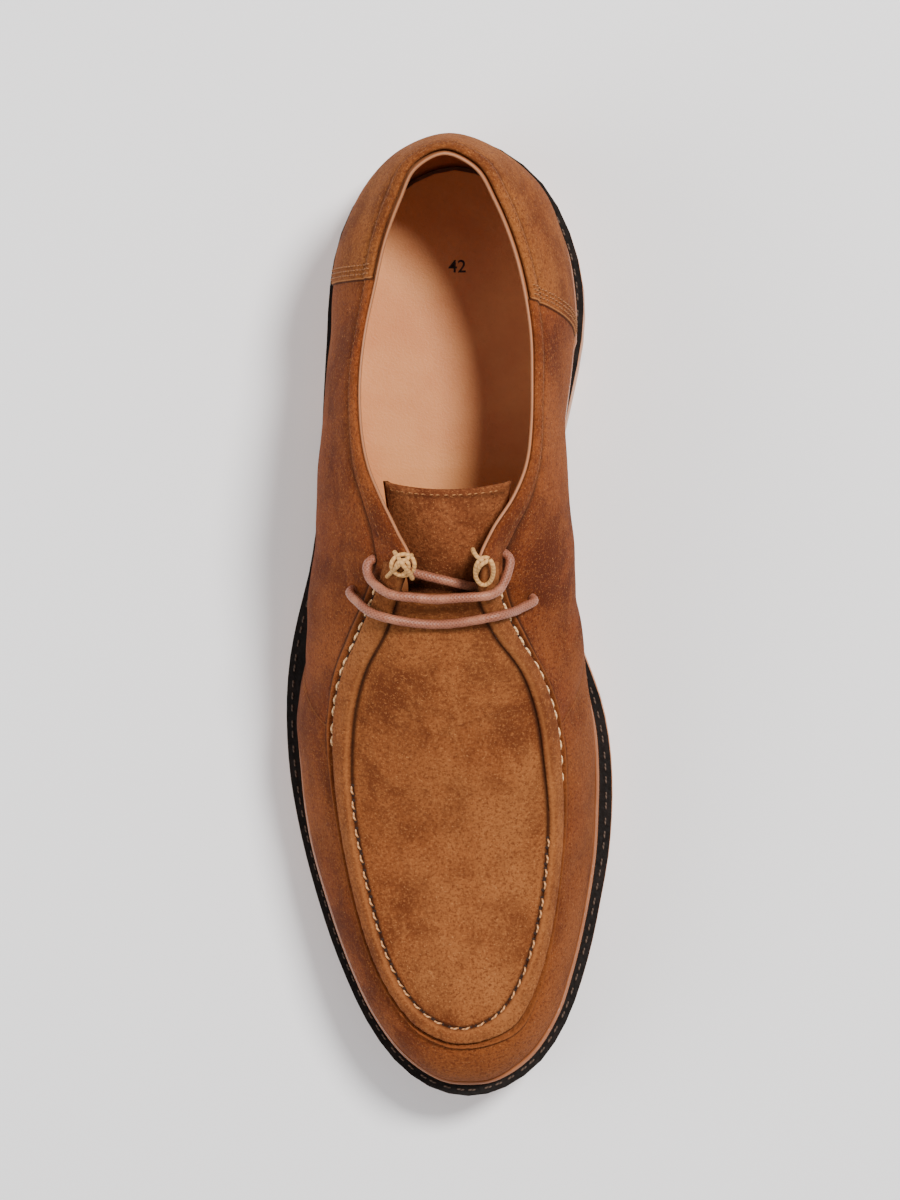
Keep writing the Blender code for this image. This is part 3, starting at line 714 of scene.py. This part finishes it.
BAND_STEP = 0.05
BAND_ROWS = 22
APRON_ACROSS = 56
LAST_ROWS = 9                 # band columns at the very toe that one face closes
TOE_ROWS = 54                 # rows near the toe, where the edge lies ahead as well as beside
APRON_DENTS = [
    (((-20, -40, 74), (2, -44, 76), (20, -38, 74)), 9.0, 0.45),
    (((-16, -62, 66), (6, -60, 67), (22, -66, 64)), 8.0, -0.4),
    (((-18, -90, 60), (0, -96, 61), (16, -90, 60)), 9.0, 0.35),
    (((-4, -14, 84), (-2, -36, 78), (4, -58, 70)), 9.0, -0.5),
    (((10, -70, 65), (14, -92, 61), (8, -112, 59)), 8.0, -0.35),
]


def apron_and_band():
    points, relief, rub_and_highlight, painted_shade = [], [], [], []
    first = TAB_STATION - 0.1
    count = round((LOOP - 2 * first) / BAND_STEP) + 1
    places = [first + k * BAND_STEP for k in range(count)]
    shares = [VALLEY - 0.02 + (1.02 - VALLEY) * (k / BAND_ROWS) for k in range(BAND_ROWS + 1)]
    for s in places:
        start = ease(min(s, LOOP - s), first, TAB_STATION + 0.35)
        for share in shares:
            points.append(wall_point(s, 1 + share))
            relief.append(band_height(s, share) * (0.55 + 0.45 * start))
            # Rubbed nap with a painted highlight on the band's top and inner edge; painted shade
            # in the seam valley and along the band's inner edge
            rub_and_highlight.append(0.3 * bell(share, 0.70, 0.22) + 0.9 * bell(share, 0.93, 0.03))
            painted_shade.append(bell(share, VALLEY, 0.035) + bell(share, 1.0, 0.03))
    rings = len(shares)
    faces = grid_faces(count, rings)

    def top_index(number):
        return number * rings + rings - 1

    begin = round((THROAT_STATION - first) / BAND_STEP)
    toe = (count - 1) // 2
    toe_edge = range(toe - TOE_ROWS, toe + TOE_ROWS + 1, 3)
    rows = []
    for number in range(begin, toe - LAST_ROWS + 1):
        left = top_index(number)
        right = top_index(count - 1 - number)
        row = [left]
        width = (points[right] - points[left]).length
        for k in range(1, APRON_ACROSS):
            share = math.sin(math.pi / 2 * (2 * k / APRON_ACROSS - 1))
            point = points[left].lerp(points[right], (share + 1) / 2)
            edge = (1 - abs(share)) * width / 2
            if number > toe - TOE_ROWS:
                edge = min(edge, *((points[top_index(n)] - point).xy.length for n in toe_edge))
            rise = height_at(APRON_RIDGE, point.y) - point.z
            point.z += rise * (1 - abs(share) ** 2.2) * ease(edge, -2.0, 5.0)
            row.append(len(points))
            points.append(point)
            relief.append(crease_relief(point, APRON_DENTS) - 0.5 * math.exp(-(edge / 0.9) ** 2))
            rub_and_highlight.append(0.0)
            # Painted shade in the groove where the plug meets the band
            painted_shade.append(math.exp(-(edge / 1.1) ** 2))
        rows.append(row + [right])
    for row, below in zip(rows, rows[1:]):
        for k in range(len(row) - 1):
            faces.append([row[k], below[k], below[k + 1], row[k + 1]])
    rim = [top_index(number) for number in range(toe - LAST_ROWS + 1, toe + LAST_ROWS)]
    faces.append(rows[-1][::-1] + rim)
    return points, faces, relief, {"rub_and_highlight": rub_and_highlight, "painted_shade": painted_shade}


points, faces, relief, layers = apron_and_band()
apron_suede = suede(
    "apron_suede", (0.113, 0.027, 0.0071), (0.22, 0.065, 0.0175), (0.315, 0.112, 0.033),
)
apron = surface_mesh("suede_apron", points, faces, relief, layers, apron_suede)
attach(apron, "root")
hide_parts("upper")

# --------------------------------------
# Lining: smooth tan leather glued behind the suede, cut flush at the collar, so that its
# pale edge shows all round the opening.

LINING_DEPTH = 1.25
LINING_THICK = 0.8
LINING_ROWS = 26
LINING_PROUD = 0.05


def lining_leather():
    look = Paint("lining_leather")
    pores = look.noise(1100.0, 3.0, 0.7)
    cloud = look.noise(45.0, 4.0, 0.6)
    tone = look.mix(look.span(cloud, 0.3, 0.7), (0.38, 0.125, 0.045), (0.48, 0.175, 0.068))
    tone = look.mix(look.span(pores, 0.5, 0.8, 0.0, 0.35), tone, (0.30, 0.10, 0.04))
    tone = look.mix(look.stored("edge"), tone, (0.36, 0.138, 0.056))
    return look.finish(tone, 0.55, look.bump(pores, 0.00015))


def lining_sheet():
    """Inside face of the walls behind the throat, and of the whole vamp in front of it."""
    places = span_places(0.0, LOOP, 0.15)
    points, edge = [], []
    for s in places:
        station = min(s, LOOP - s)
        top = 2.0 - 0.9 * ease(station, TAB_STATION, THROAT_STATION)
        for k in range(LINING_ROWS + 1):
            level = top * k / LINING_ROWS
            inner = wall_point(s, level)
            along = wall_point(s + 0.05, level) - wall_point(s - 0.05, level)
            up = wall_point(s, level + 0.03) - wall_point(s, level - 0.03)
            inward = up.cross(along).normalized()
            point = inner + inward * LINING_DEPTH
            if k == LINING_ROWS:
                point += up.normalized() * LINING_PROUD * (top > 1.9)
            points.append(point)
            edge.append(ease(level, 1.93, 1.99))
    return points, grid_faces(len(places), LINING_ROWS + 1, closed=True), edge


points, faces, edge = lining_sheet()
lining = surface_mesh("lining", points, faces, [0.0] * len(points), {"edge": edge},
                      lining_leather(), thick=LINING_THICK)
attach(lining, "root")
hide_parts("upper")

# --------------------------------------
# Threads: pale waxed thread sews apron to wall, long stitches lying in the seam's valley
# down both sides and shorter ones inside the band round the toe. Finer thread holds the
# heel counter in three rows and the turned collar edge.

STITCH_SIDES = 6
# A stitch from end to end: share of its length, height in rises, thickness in radii
STITCH_FORM = [
    (0.0, -0.7, 0.5), (0.12, 0.3, 0.85), (0.32, 0.9, 1.0), (0.5, 1.0, 1.05),
    (0.68, 0.9, 1.0), (0.88, 0.3, 0.85), (1.0, -0.7, 0.5),
]


class Threads:
    """Round threads gathered into one mesh; paths are points in mm."""

    def __init__(self):
        self.points, self.faces, self.along, self.turns, self.holes = [], [], [], [], []

    def tube(self, path, radii, sides=STITCH_SIDES):
        """A closed tube along a path, with a radius for each of its points."""
        first, count, run = len(self.points), len(path), 0.0
        side = None
        for k, here in enumerate(path):
            ahead = (path[min(k + 1, count - 1)] - path[max(k - 1, 0)]).normalized()
            if side is None:
                side = ahead.cross(Vector((0.31, 0.22, 0.93))).normalized()
            side = (side - ahead * side.dot(ahead)).normalized()
            over = ahead.cross(side)
            run += (here - path[k - 1]).length if k else 0.0
            for n in range(sides):
                turn = 2 * math.pi * n / sides
                spoke = side * math.cos(turn) + over * math.sin(turn)
                self.points.append(here + spoke * radii[k])
                self.along.append(run)
                self.turns.append((math.cos(turn), math.sin(turn)))
        for face in grid_faces(count, sides, ringed=True):
            self.faces.append([first + corner for corner in face])
        self.faces.append(list(range(first, first + sides))[::-1])
        last = first + (count - 1) * sides
        self.faces.append(list(range(last, last + sides)))

    def stitches(self, samples, pitch, length, radius, rise, lean=0.0):
        """Stitches along a row of (point, outward) samples."""
        runs = [0.0]
        for (a, _), (b, _) in zip(samples, samples[1:]):
            runs.append(runs[-1] + (b - a).length)

        def at(run):
            k = max(next((i for i, r in enumerate(runs) if r > run), len(runs) - 1), 1)
            t = (run - runs[k - 1]) / max(runs[k] - runs[k - 1], 1e-6)
            return tuple(a.lerp(b, t) for a, b in zip(samples[k - 1], samples[k]))

        for number in range(int((runs[-1] - length) / pitch) + 1):
            start = number * pitch + 0.12 * pitch * math.sin(number * 2.39)
            path, radii = [], []
            for share, high, wide in STITCH_FORM:
                point, out = at(start + share * length)
                ahead = at(start + share * length + 0.3)[0] - point
                across = ahead.cross(out).normalized() if ahead.length > 1e-6 else Vector()
                path.append(point + out * (rise * high) + across * lean * (share - 0.5))
                radii.append(radius * wide)
            self.tube(path, radii)
            self.holes += [at(start - 0.1), at(start + length + 0.1)]

    def build(self, name, look):
        made = mesh_from(name, self.points, self.faces, look)
        cosines, sines = zip(*self.turns)
        for key, values in (("along", self.along), ("turn_x", cosines), ("turn_y", sines)):
            made.data.attributes.new(key, "FLOAT", "POINT").data.foreach_set("value", values)
        return made


def thread_look(name, pale, shade):
    """Twisted thread: fine slanting plies, with painted shade in the grooves between them."""
    look = Paint(name)
    twist = look.maths("MULTIPLY", look.stored("along"), 4.2)
    ply = look.maths("SINE", look.maths("ADD", twist, look.around()))
    # Pale on the ply crowns, painted shade between them
    tone = look.mix(look.span(ply, -0.9, 0.5), shade, pale)
    tone = look.mix(look.span(look.noise(700.0, 3.0), 0.5, 0.75, 0.0, 0.5), tone, shade)
    return look.finish(tone, 0.65, look.bump(ply, 0.00008, 0.6), {"Specular IOR Level": 0.2})


SEAM_STEP = 0.04              # between samples along the apron seam, in places


def seam_samples(low, high, share, height):
    """(point, outward) down the apron seam, at a share across it and a height above it."""
    count = round(abs(high - low) / SEAM_STEP)
    rows = []
    for k in range(count + 1):
        place = low + (high - low) * k / count
        out = outward_at(place, 1 + share)
        rows.append((wall_point(place, 1 + share) + out * height, out))
    return rows


SIDE_SEAMS = ((11.65, 15.75), (LOOP - 11.75, LOOP - 16.25))    # places of both ends
TOE_SEAM = (16.35, LOOP - 17.4)
NEEDLE_HOLE = [(0.16, 0.3), (0.1, 0.5), (-0.7, 0.4)]    # height over the suede and radius
NEEDLE_HOLE_SIDES = 8

apron_threads = Threads()
for low, high in SIDE_SEAMS:
    apron_threads.stitches(seam_samples(low, high, share=0.265, height=0.25),
                           pitch=4.95, length=3.75, radius=0.43, rise=0.5, lean=0.25)
toe_threads = Threads()
toe_threads.stitches(seam_samples(*TOE_SEAM, share=1.0, height=-0.2),
                     pitch=4.5, length=2.9, radius=0.34, rise=0.36, lean=-0.5)
# Dark tubes sunk into the needle holes: painted shade inside them
needle_hole_shade = Threads()
for sewn in (apron_threads, toe_threads):
    for point, out in sewn.holes:
        needle_hole_shade.tube([point + out * high for high, _ in NEEDLE_HOLE],
                          [radius for _, radius in NEEDLE_HOLE], NEEDLE_HOLE_SIDES)
cream = thread_look("cream_thread", (0.88, 0.57, 0.30), (0.62, 0.33, 0.14))
apron_thread = apron_threads.build("apron_thread", cream)
peach = thread_look("peach_thread", (0.62, 0.32, 0.145), (0.36, 0.15, 0.055))
toe_thread = toe_threads.build("toe_thread", peach)
# Near black: the painted shade inside the needle holes
look = Paint("needle_hole_shade")
tone = look.mix(look.noise(800.0), (0.012, 0.004, 0.002), (0.035, 0.012, 0.005))
holes = needle_hole_shade.build("needle_hole_shade", look.finish(tone, 0.95))
for sewn in (apron_thread, toe_thread):
    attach(sewn, "root")
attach(holes, "root")

COUNTER_ROWS = (1.5, 2.9, 4.3)    # mm from the counter's front edge to each row
COUNTER_LEVELS = (0.06, 1.9)      # where the rows start and end on the wall
COUNTER_PLACES = (1.0, 8.0)       # places from the heel between which they are looked for
COUNTER_SAMPLES = 40
HALVINGS = 18                     # steps that close in on the edge
COLLAR_LEVEL = 1.42               # just above the collar seam
COLLAR_REACH = 10.3               # the collar's row runs this many places from the heel


def wall_skin(place, level):
    """(point, outward) on the raised suede of the wall."""
    point = wall_point(place, level)
    out = outward_at(place, level)
    return point + out * wall_lift(place, level, point), out


def counter_row(side, inset):
    """(point, outward) up the wall, at an inset in mm from the counter's front edge."""
    low, high = COUNTER_LEVELS
    rows = []
    for k in range(COUNTER_SAMPLES + 1):
        level = low + (high - low) * k / COUNTER_SAMPLES
        behind, ahead = COUNTER_PLACES
        for _ in range(HALVINGS):
            middle = (behind + ahead) / 2
            place = place_of(side, middle)
            if past_counter(place, wall_point(place, level)) > inset:
                behind = middle
            else:
                ahead = middle
        rows.append(wall_skin(place_of(side, (behind + ahead) / 2), level))
    return rows


fine_threads = Threads()
for side in (-1, 1):
    for inset in COUNTER_ROWS:
        row = counter_row(side, inset)
        fine_threads.stitches(row, pitch=2.1, length=1.35, radius=0.24, rise=0.22)
tan_thread = thread_look("tan_thread", (0.36, 0.15, 0.052), (0.17, 0.058, 0.019))
collar_threads = Threads()
row = [wall_skin(s, COLLAR_LEVEL) for s in span_places(-COLLAR_REACH, COLLAR_REACH, 0.1)]
collar_threads.stitches(row, pitch=2.4, length=1.5, radius=0.17, rise=0.1)
brown_thread = thread_look("brown_thread", (0.19, 0.062, 0.018), (0.10, 0.028, 0.008))
collar_thread = collar_threads.build("collar_thread", brown_thread)
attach(collar_thread, "root")
fine_thread = fine_threads.build("fine_thread", tan_thread)
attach(fine_thread, "root")

# --------------------------------------
# Tongue: one suede flap with eared corners, sewn along its top edge and standing free
# behind the tabs.

# y, middle x, half width, z of the ridge, drop of the sides
TONGUE = [
    (-6.0, 0.6, 10.5, 84.4, 3.2), (3.0, 1.6, 10.5, 87.6, 4.8), (12.0, 2.4, 11.5, 90.9, 6.0),
    (21.0, 2.9, 16.0, 95.0, 7.6), (30.0, 3.2, 17.6, 98.2, 8.4), (38.6, 3.4, 19.2, 100.6, 7.6),
]
TONGUE_EARS = 2.8             # how far its corners stand up past the middle
TONGUE_ROWS = 44
TONGUE_ACROSS = 36
TONGUE_SIZE = (18.0, 44.0)    # mean half width and length, for its rounded edge
TONGUE_PROUD = 0.95           # how far its face stands off the table's form
TONGUE_SEAM = 0.94            # where its sewn row lies, from foot to top edge
TONGUE_SEAM_HALF = 0.92       # and how far it runs, as a share of the half width
TONGUE_SEAM_SAMPLES = 60


def tongue_point(down, share):
    """down: 0 at the foot to 1 at the top edge; share: -1 to 1 across."""
    place = down * (len(TONGUE) - 1)
    i = min(int(place), len(TONGUE) - 2)
    near = [TONGUE[min(max(i + k, 0), len(TONGUE) - 1)] for k in (-1, 0, 1, 2)]
    y, middle, half, z, drop = (through(*column, place - i) for column in zip(*near))
    y += TONGUE_EARS * share ** 2 * ease(down, 0.8, 1.0)
    return Vector((middle + half * share, y, z - drop * share ** 2))


points, relief, painted_shade = [], [], []
for k in range(TONGUE_ROWS + 1):
    down = k / TONGUE_ROWS
    for n in range(TONGUE_ACROSS + 1):
        share = 2 * n / TONGUE_ACROSS - 1
        points.append(tongue_point(down, share))
        edge = min((1 - abs(share)) * TONGUE_SIZE[0], (1 - down) * TONGUE_SIZE[1])
        swell = bell(down, 0.35, 0.1) * (1 - share ** 2)
        relief.append(TONGUE_PROUD - 0.5 * bell(edge, 0.0, 0.7) + 0.5 * swell)
        # Painted shade in the sewn row's dent and in a band among the lace crossings
        pressed = bell(down, 0.93, 0.014) * (abs(share) < 0.93)
        painted_shade.append(0.5 * pressed + 0.35 * bell(down, 0.32, 0.09))
faces = grid_faces(TONGUE_ROWS + 1, TONGUE_ACROSS + 1)
tongue_suede = suede(
    "tongue_suede", (0.097, 0.022, 0.0065), (0.19, 0.055, 0.017), (0.28, 0.095, 0.032),
)
layers = {"rub_and_highlight": [0.0] * len(points), "painted_shade": painted_shade}
tongue = surface_mesh("suede_tongue", points, faces, relief, layers, tongue_suede, thick=1.8)
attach(tongue, "root")
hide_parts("tongue")

tongue_threads = Threads()
row = []
for k in range(TONGUE_SEAM_SAMPLES + 1):
    share = TONGUE_SEAM_HALF * (2 * k / TONGUE_SEAM_SAMPLES - 1)
    here = tongue_point(TONGUE_SEAM, share) + Vector((0, 0, TONGUE_PROUD))
    row.append((here, Vector((0.25 * share, 0.15, 1.0)).normalized()))
tongue_threads.stitches(row, pitch=2.3, length=1.5, radius=0.24, rise=0.22)
tongue_thread = tongue_threads.build("tongue_thread", tan_thread)
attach(tongue_thread, "root")

# --------------------------------------
# Lace: one round waxed cord. It comes out of the lower outer hole, crosses, goes back
# inside, comes out and crosses again; its two ends are tucked away behind the suede.

# Each row is a point x, y, z, or side, station, level and height over the wall
UPPER_CROSSING = [
    (-1, 11.22, 1.10, 3.2), (-1, 11.52, 1.52, 4.1), (-1, 11.80, 1.94, 4.1),
    (-5.6, 5.9, 101.6), (0.4, 5.3, 101.0), (6.4, 5.8, 101.6),
    (1, 11.78, 1.94, 4.1), (1, 11.60, 1.58, 4.1), (1, 11.26, 1.28, 3.3),
]
LOWER_CROSSING = [
    (-1, 11.96, 1.04, 3.0), (-1, 12.24, 1.50, 4.4), (-1, 12.46, 1.94, 4.0),
    (-8.0, -1.6, 93.2), (0.0, -2.2, 92.2), (7.0, -1.7, 93.0),
    (1, 12.46, 1.92, 4.1), (1, 12.32, 1.52, 4.4), (1, 12.22, 1.10, 3.3), (1, 11.94, 0.95, 2.6),
]
INNER_CROSSING = [
    (-14.6, 16.2, 91.6), (-11.0, 14.8, 94.0), (-6.3, 13.3, 95.4), (1.6, 11.4, 95.6),
    (8.4, 9.8, 93.1), (12.2, 8.9, 89.9), (15.6, 8.1, 86.4), (18.6, 7.4, 82.4), (21.8, 6.8, 78.4),
]
LACE_RADIUS = 1.42
LACE_UNEVEN = 0.04
LACE_SIDES = 16
LACE_STEP = 0.7               # between points along the lace, mm
LACE_EASING = 16              # rounds that ease its bends
THROUGH_HOLE = (2.2, 0.6, -1.1, -4.6)    # heights of the lace as it goes in


def lace_points(rows):
    points = []
    for row in rows:
        if len(row) == 3:
            points.append(Vector(row))
        else:
            side, station, level, height = row
            place = place_of(side, station)
            points.append(wall_point(place, level) + outward_at(place, level) * height)
    return points


def through_hole(name):
    side, station, level = LACE_HOLES[name]
    return lace_points([(side, station, level, height) for height in THROUGH_HOLE])


def smooth_path(route, steps):
    """A smooth curve through a route, with this many steps between its points."""
    points = []
    for i in range(len(route) - 1):
        four = [route[min(max(i + k, 0), len(route) - 1)] for k in (-1, 0, 1, 2)]
        points += [through(*four, k / steps) for k in range(steps)]
    return points + [route[-1]]


def relaxed(path):
    """The same route in even steps, with its bends eased as a waxed cord eases them."""
    even = [path[0]]
    for point in path[1:]:
        while (point - even[-1]).length > LACE_STEP:
            even.append(even[-1] + (point - even[-1]).normalized() * LACE_STEP)
    for _ in range(LACE_EASING):
        between = [(a + 2 * b + c) / 4 for a, b, c in zip(even, even[1:], even[2:])]
        even = [even[0]] + between + [even[-1]]
    return even


def lace_look():
    """Round braid, waxed: crossed plies with painted shade between them, rose brown, paler where
    it is rubbed.
    """
    look = Paint("waxed_braid")
    around = look.maths("MULTIPLY", look.around(), 7.0)
    along = look.maths("MULTIPLY", look.stored("along"), 5.4)
    one = look.maths("SINE", look.maths("ADD", around, along))
    other = look.maths("SINE", look.maths("SUBTRACT", around, along))
    ply = look.maths("MAXIMUM", one, other)
    # Painted shade in the braid's grooves, paler ply crowns
    tone = look.mix(look.span(ply, -0.2, 0.9), (0.18, 0.055, 0.026), (0.30, 0.098, 0.05))
    rubbed = look.span(look.noise(160.0, 4.0), 0.45, 0.7, 0.0, 0.6)
    tone = look.mix(rubbed, tone, (0.42, 0.165, 0.09))
    return look.finish(tone, look.span(ply, 0.0, 1.0, 0.6, 0.42), look.bump(ply, 0.00008, 0.6))


route = through_hole("lower_lateral")[::-1] + lace_points(LOWER_CROSSING)
route += through_hole("lower_medial") + lace_points(INNER_CROSSING)[::-1]
route += through_hole("upper_lateral")[::-1] + lace_points(UPPER_CROSSING)
route += through_hole("upper_medial")
path = relaxed(smooth_path(route, 9))
radii = [LACE_RADIUS + LACE_UNEVEN * math.sin(0.9 * k) for k in range(len(path))]
cord = Threads()
cord.tube(path, radii, LACE_SIDES)
braid = cord.build("waxed_braid", lace_look())
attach(braid, "root")
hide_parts("lace")

# --------------------------------------
# Tab ties: where the apron seam ends at each tab, its thread is wound round the leather
# and knotted, with short loose ends.

TAB_TIP = (16.4, 108.8)       # y and z of the tabs' highest point
TAB_SLOPES = (1.21, -0.35)    # rise for each mm of y, in front of the tip and behind it
TIE_RADIUS = 0.68
TIE_SIDES = 10
LOOP_STEPS = 24
STRAND_STEPS = 5


def on_tab(x, y, above):
    """A point over the tab, which falls steeply to the front and gently behind."""
    slope = TAB_SLOPES[0] if y < TAB_TIP[0] else TAB_SLOPES[1]
    return Vector((x, y, TAB_TIP[1] + slope * (y - TAB_TIP[0]) + above))


def turn_of(x, y, wide, long, turn, above, start, sweep, lift):
    """A turn of thread round x, y; start and sweep are shares of a whole turn."""
    points = []
    for k in range(LOOP_STEPS + 1):
        angle = 2 * math.pi * (start + sweep * k / LOOP_STEPS)
        across, ahead = wide * math.cos(angle), long * math.sin(angle)
        points.append(on_tab(x + across * math.cos(turn) - ahead * math.sin(turn),
                             y + across * math.sin(turn) + ahead * math.cos(turn),
                             above + lift * k / LOOP_STEPS))
    return points


def strand(*rows):
    """A short piece of thread; rows are x, y and height over the tab."""
    return smooth_path([on_tab(*row) for row in rows], STRAND_STEPS)


tie_paths = [
    turn_of(-8.9, 15.7, 3.5, 3.1, 0.3, 1.5, 0.1, 0.98, 0.7),
    turn_of(-9.2, 14.9, 2.4, 1.7, 0.9, 2.5, 0.5, 0.85, 0.4),
    strand((-14.2, 12.2, -2.0), (-12.6, 13.5, 0.9), (-10.0, 15.6, 3.2), (-7.4, 17.6, 2.2),
           (-6.4, 18.6, 0.2)),
    strand((-11.6, 19.6, -0.8), (-10.6, 18.3, 1.6), (-9.0, 16.0, 3.6), (-7.2, 13.4, 2.9),
           (-6.4, 11.6, 1.0)),
    turn_of(15.3, 13.8, 2.7, 4.1, -0.15, 1.6, 0.2, 0.97, 0.6),
    strand((11.8, 20.4, -0.8), (12.4, 19.2, 1.5), (13.6, 17.8, 2.4), (15.0, 16.8, 2.0)),
    strand((12.4, 12.0, -1.5), (13.0, 13.6, 1.4), (14.4, 15.6, 2.7), (16.6, 17.0, 1.6)),
]
ties = Threads()
for path in tie_paths:
    ties.tube(path, [TIE_RADIUS] * len(path), TIE_SIDES)
tie_thread = thread_look("tie_thread", (0.62, 0.335, 0.125), (0.50, 0.25, 0.082))
tab_ties = ties.build("tab_ties", tie_thread)
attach(tab_ties, "root")

# --------------------------------------
# Welt stitches: one row of short brown stitches runs round the welt, two millimetres in
# from its edge.

# Edge of the sole: y, lateral x, medial x
SOLE_OUTLINE = [
    (154.0, 2.0, 2.0),
    (149.5, -14.0, 17.0), (138.5, -26.4, 30.4), (123.0, -34.6, 39.0),
    (106.0, -38.2, 43.1), (89.0, -39.2, 42.8), (72.0, -40.2, 39.6),
    (56.0, -41.0, 36.2), (41.0, -41.9, 34.0), (27.0, -43.2, 33.2),
    (13.5, -45.7, 35.2), (0.0, -49.3, 39.0), (-13.0, -52.0, 43.6),
    (-26.0, -53.2, 48.4), (-39.0, -53.1, 51.2), (-52.0, -52.0, 52.3),
    (-65.0, -49.7, 52.2), (-78.0, -46.6, 51.1), (-91.0, -42.8, 48.8),
    (-104.0, -38.4, 46.2), (-117.0, -33.0, 42.7), (-130.0, -26.4, 37.8),
    (-142.0, -17.4, 30.0), (-150.4, -6.0, 18.6),
    (-153.3, 6.6, 6.6),
]
WELT_THICKNESS = 1.2
WELT_STITCH_INSET = 2.0
sole_loop = control_loop(SOLE_OUTLINE)
up = Vector((0, 0, 1))


def welt_samples():
    rows = []
    for s in span_places(0.0, LOOP + 0.05, 0.1):
        ahead = loop_point(sole_loop, s + 0.05) - loop_point(sole_loop, s - 0.05)
        point = loop_point(sole_loop, s) + up.cross(ahead).normalized() * WELT_STITCH_INSET
        rows.append((Vector((point.x, point.y, seat_height(point.y) + WELT_THICKNESS)), up))
    return rows


welt_threads = Threads()
welt_threads.stitches(welt_samples(), pitch=4.3, length=2.5, radius=0.33, rise=0.2)
dark_thread = thread_look("welt_thread", (0.125, 0.082, 0.06), (0.045, 0.028, 0.02))
welt_thread = welt_threads.build("welt_thread", dark_thread)
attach(welt_thread, "root")

# --------------------------------------
# Rand: a polished brown edge strip, standing in the corner between welt and suede. Its
# rounded bead covers their joint.

RAND_HALF = (0.85, 1.55)      # half width and half height of the bead
RAND_GAP = 0.3                # between bead and suede, mm
RAND_SIDES = 12


def polished_brown():
    look = Paint("polished_brown")
    tone = look.mix(look.noise(90.0), (0.24, 0.072, 0.024), (0.40, 0.145, 0.056))
    return look.finish(tone, 0.22, look.bump(look.noise(500.0), 0.0001),
                       {"Coat Weight": 0.4, "Coat Roughness": 0.15})


def rand_bead():
    points = []
    places = span_places(0.0, LOOP, 0.1)
    for s in places:
        out = outward_at(s, 0.06)
        out = Vector((out.x, out.y, 0)).normalized()
        foot = wall_point(s, 0.05)
        centre = foot + out * (RAND_GAP + RAND_HALF[0] + counter_lift(s, foot))
        centre.z = seat_height(centre.y) + WELT_THICKNESS + RAND_HALF[1]
        for n in range(RAND_SIDES):
            turn = 2 * math.pi * n / RAND_SIDES
            points.append(centre + out * RAND_HALF[0] * math.cos(turn)
                          + up * RAND_HALF[1] * math.sin(turn))
    faces = grid_faces(len(places), RAND_SIDES, closed=True, ringed=True)
    return mesh_from("rand_bead", points, faces, polished_brown())


bead = rand_bead()
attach(bead, "root")
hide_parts("rand")

# --------------------------------------
# Size stamp: the size number alone, printed in dark ink on the insole's heel. The ink is
# thin and slightly worn.

STAMP_PLACE = (3.0, 111.8)    # x, y
STAMP_ABOVE_SEAT = 3.2        # just over the insole's face
STAMP_SIZE = 5.7
STAMP_BOLD = 0.05
STAMP_THICK = 0.02
look = Paint("stamp_ink")
worn = look.span(look.noise(900.0), 0.4, 0.65)
ink = look.finish(look.mix(worn, (0.012, 0.006, 0.004), (0.05, 0.024, 0.014)), 0.7)
words = bpy.data.curves.new("size_stamp", "FONT")
words.body = "42"
words.align_x = "CENTER"
words.align_y = "CENTER"
words.size = STAMP_SIZE * MM
words.offset = STAMP_BOLD * MM
words.extrude = STAMP_THICK * MM
words.materials.append(ink)
stamp = bpy.data.objects.new("size_stamp", words)
stamp_height = seat_height(STAMP_PLACE[1]) + STAMP_ABOVE_SEAT
stamp.location = Vector((*STAMP_PLACE, stamp_height)) * MM
bpy.context.scene.collection.objects.link(stamp)
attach(stamp, "root")
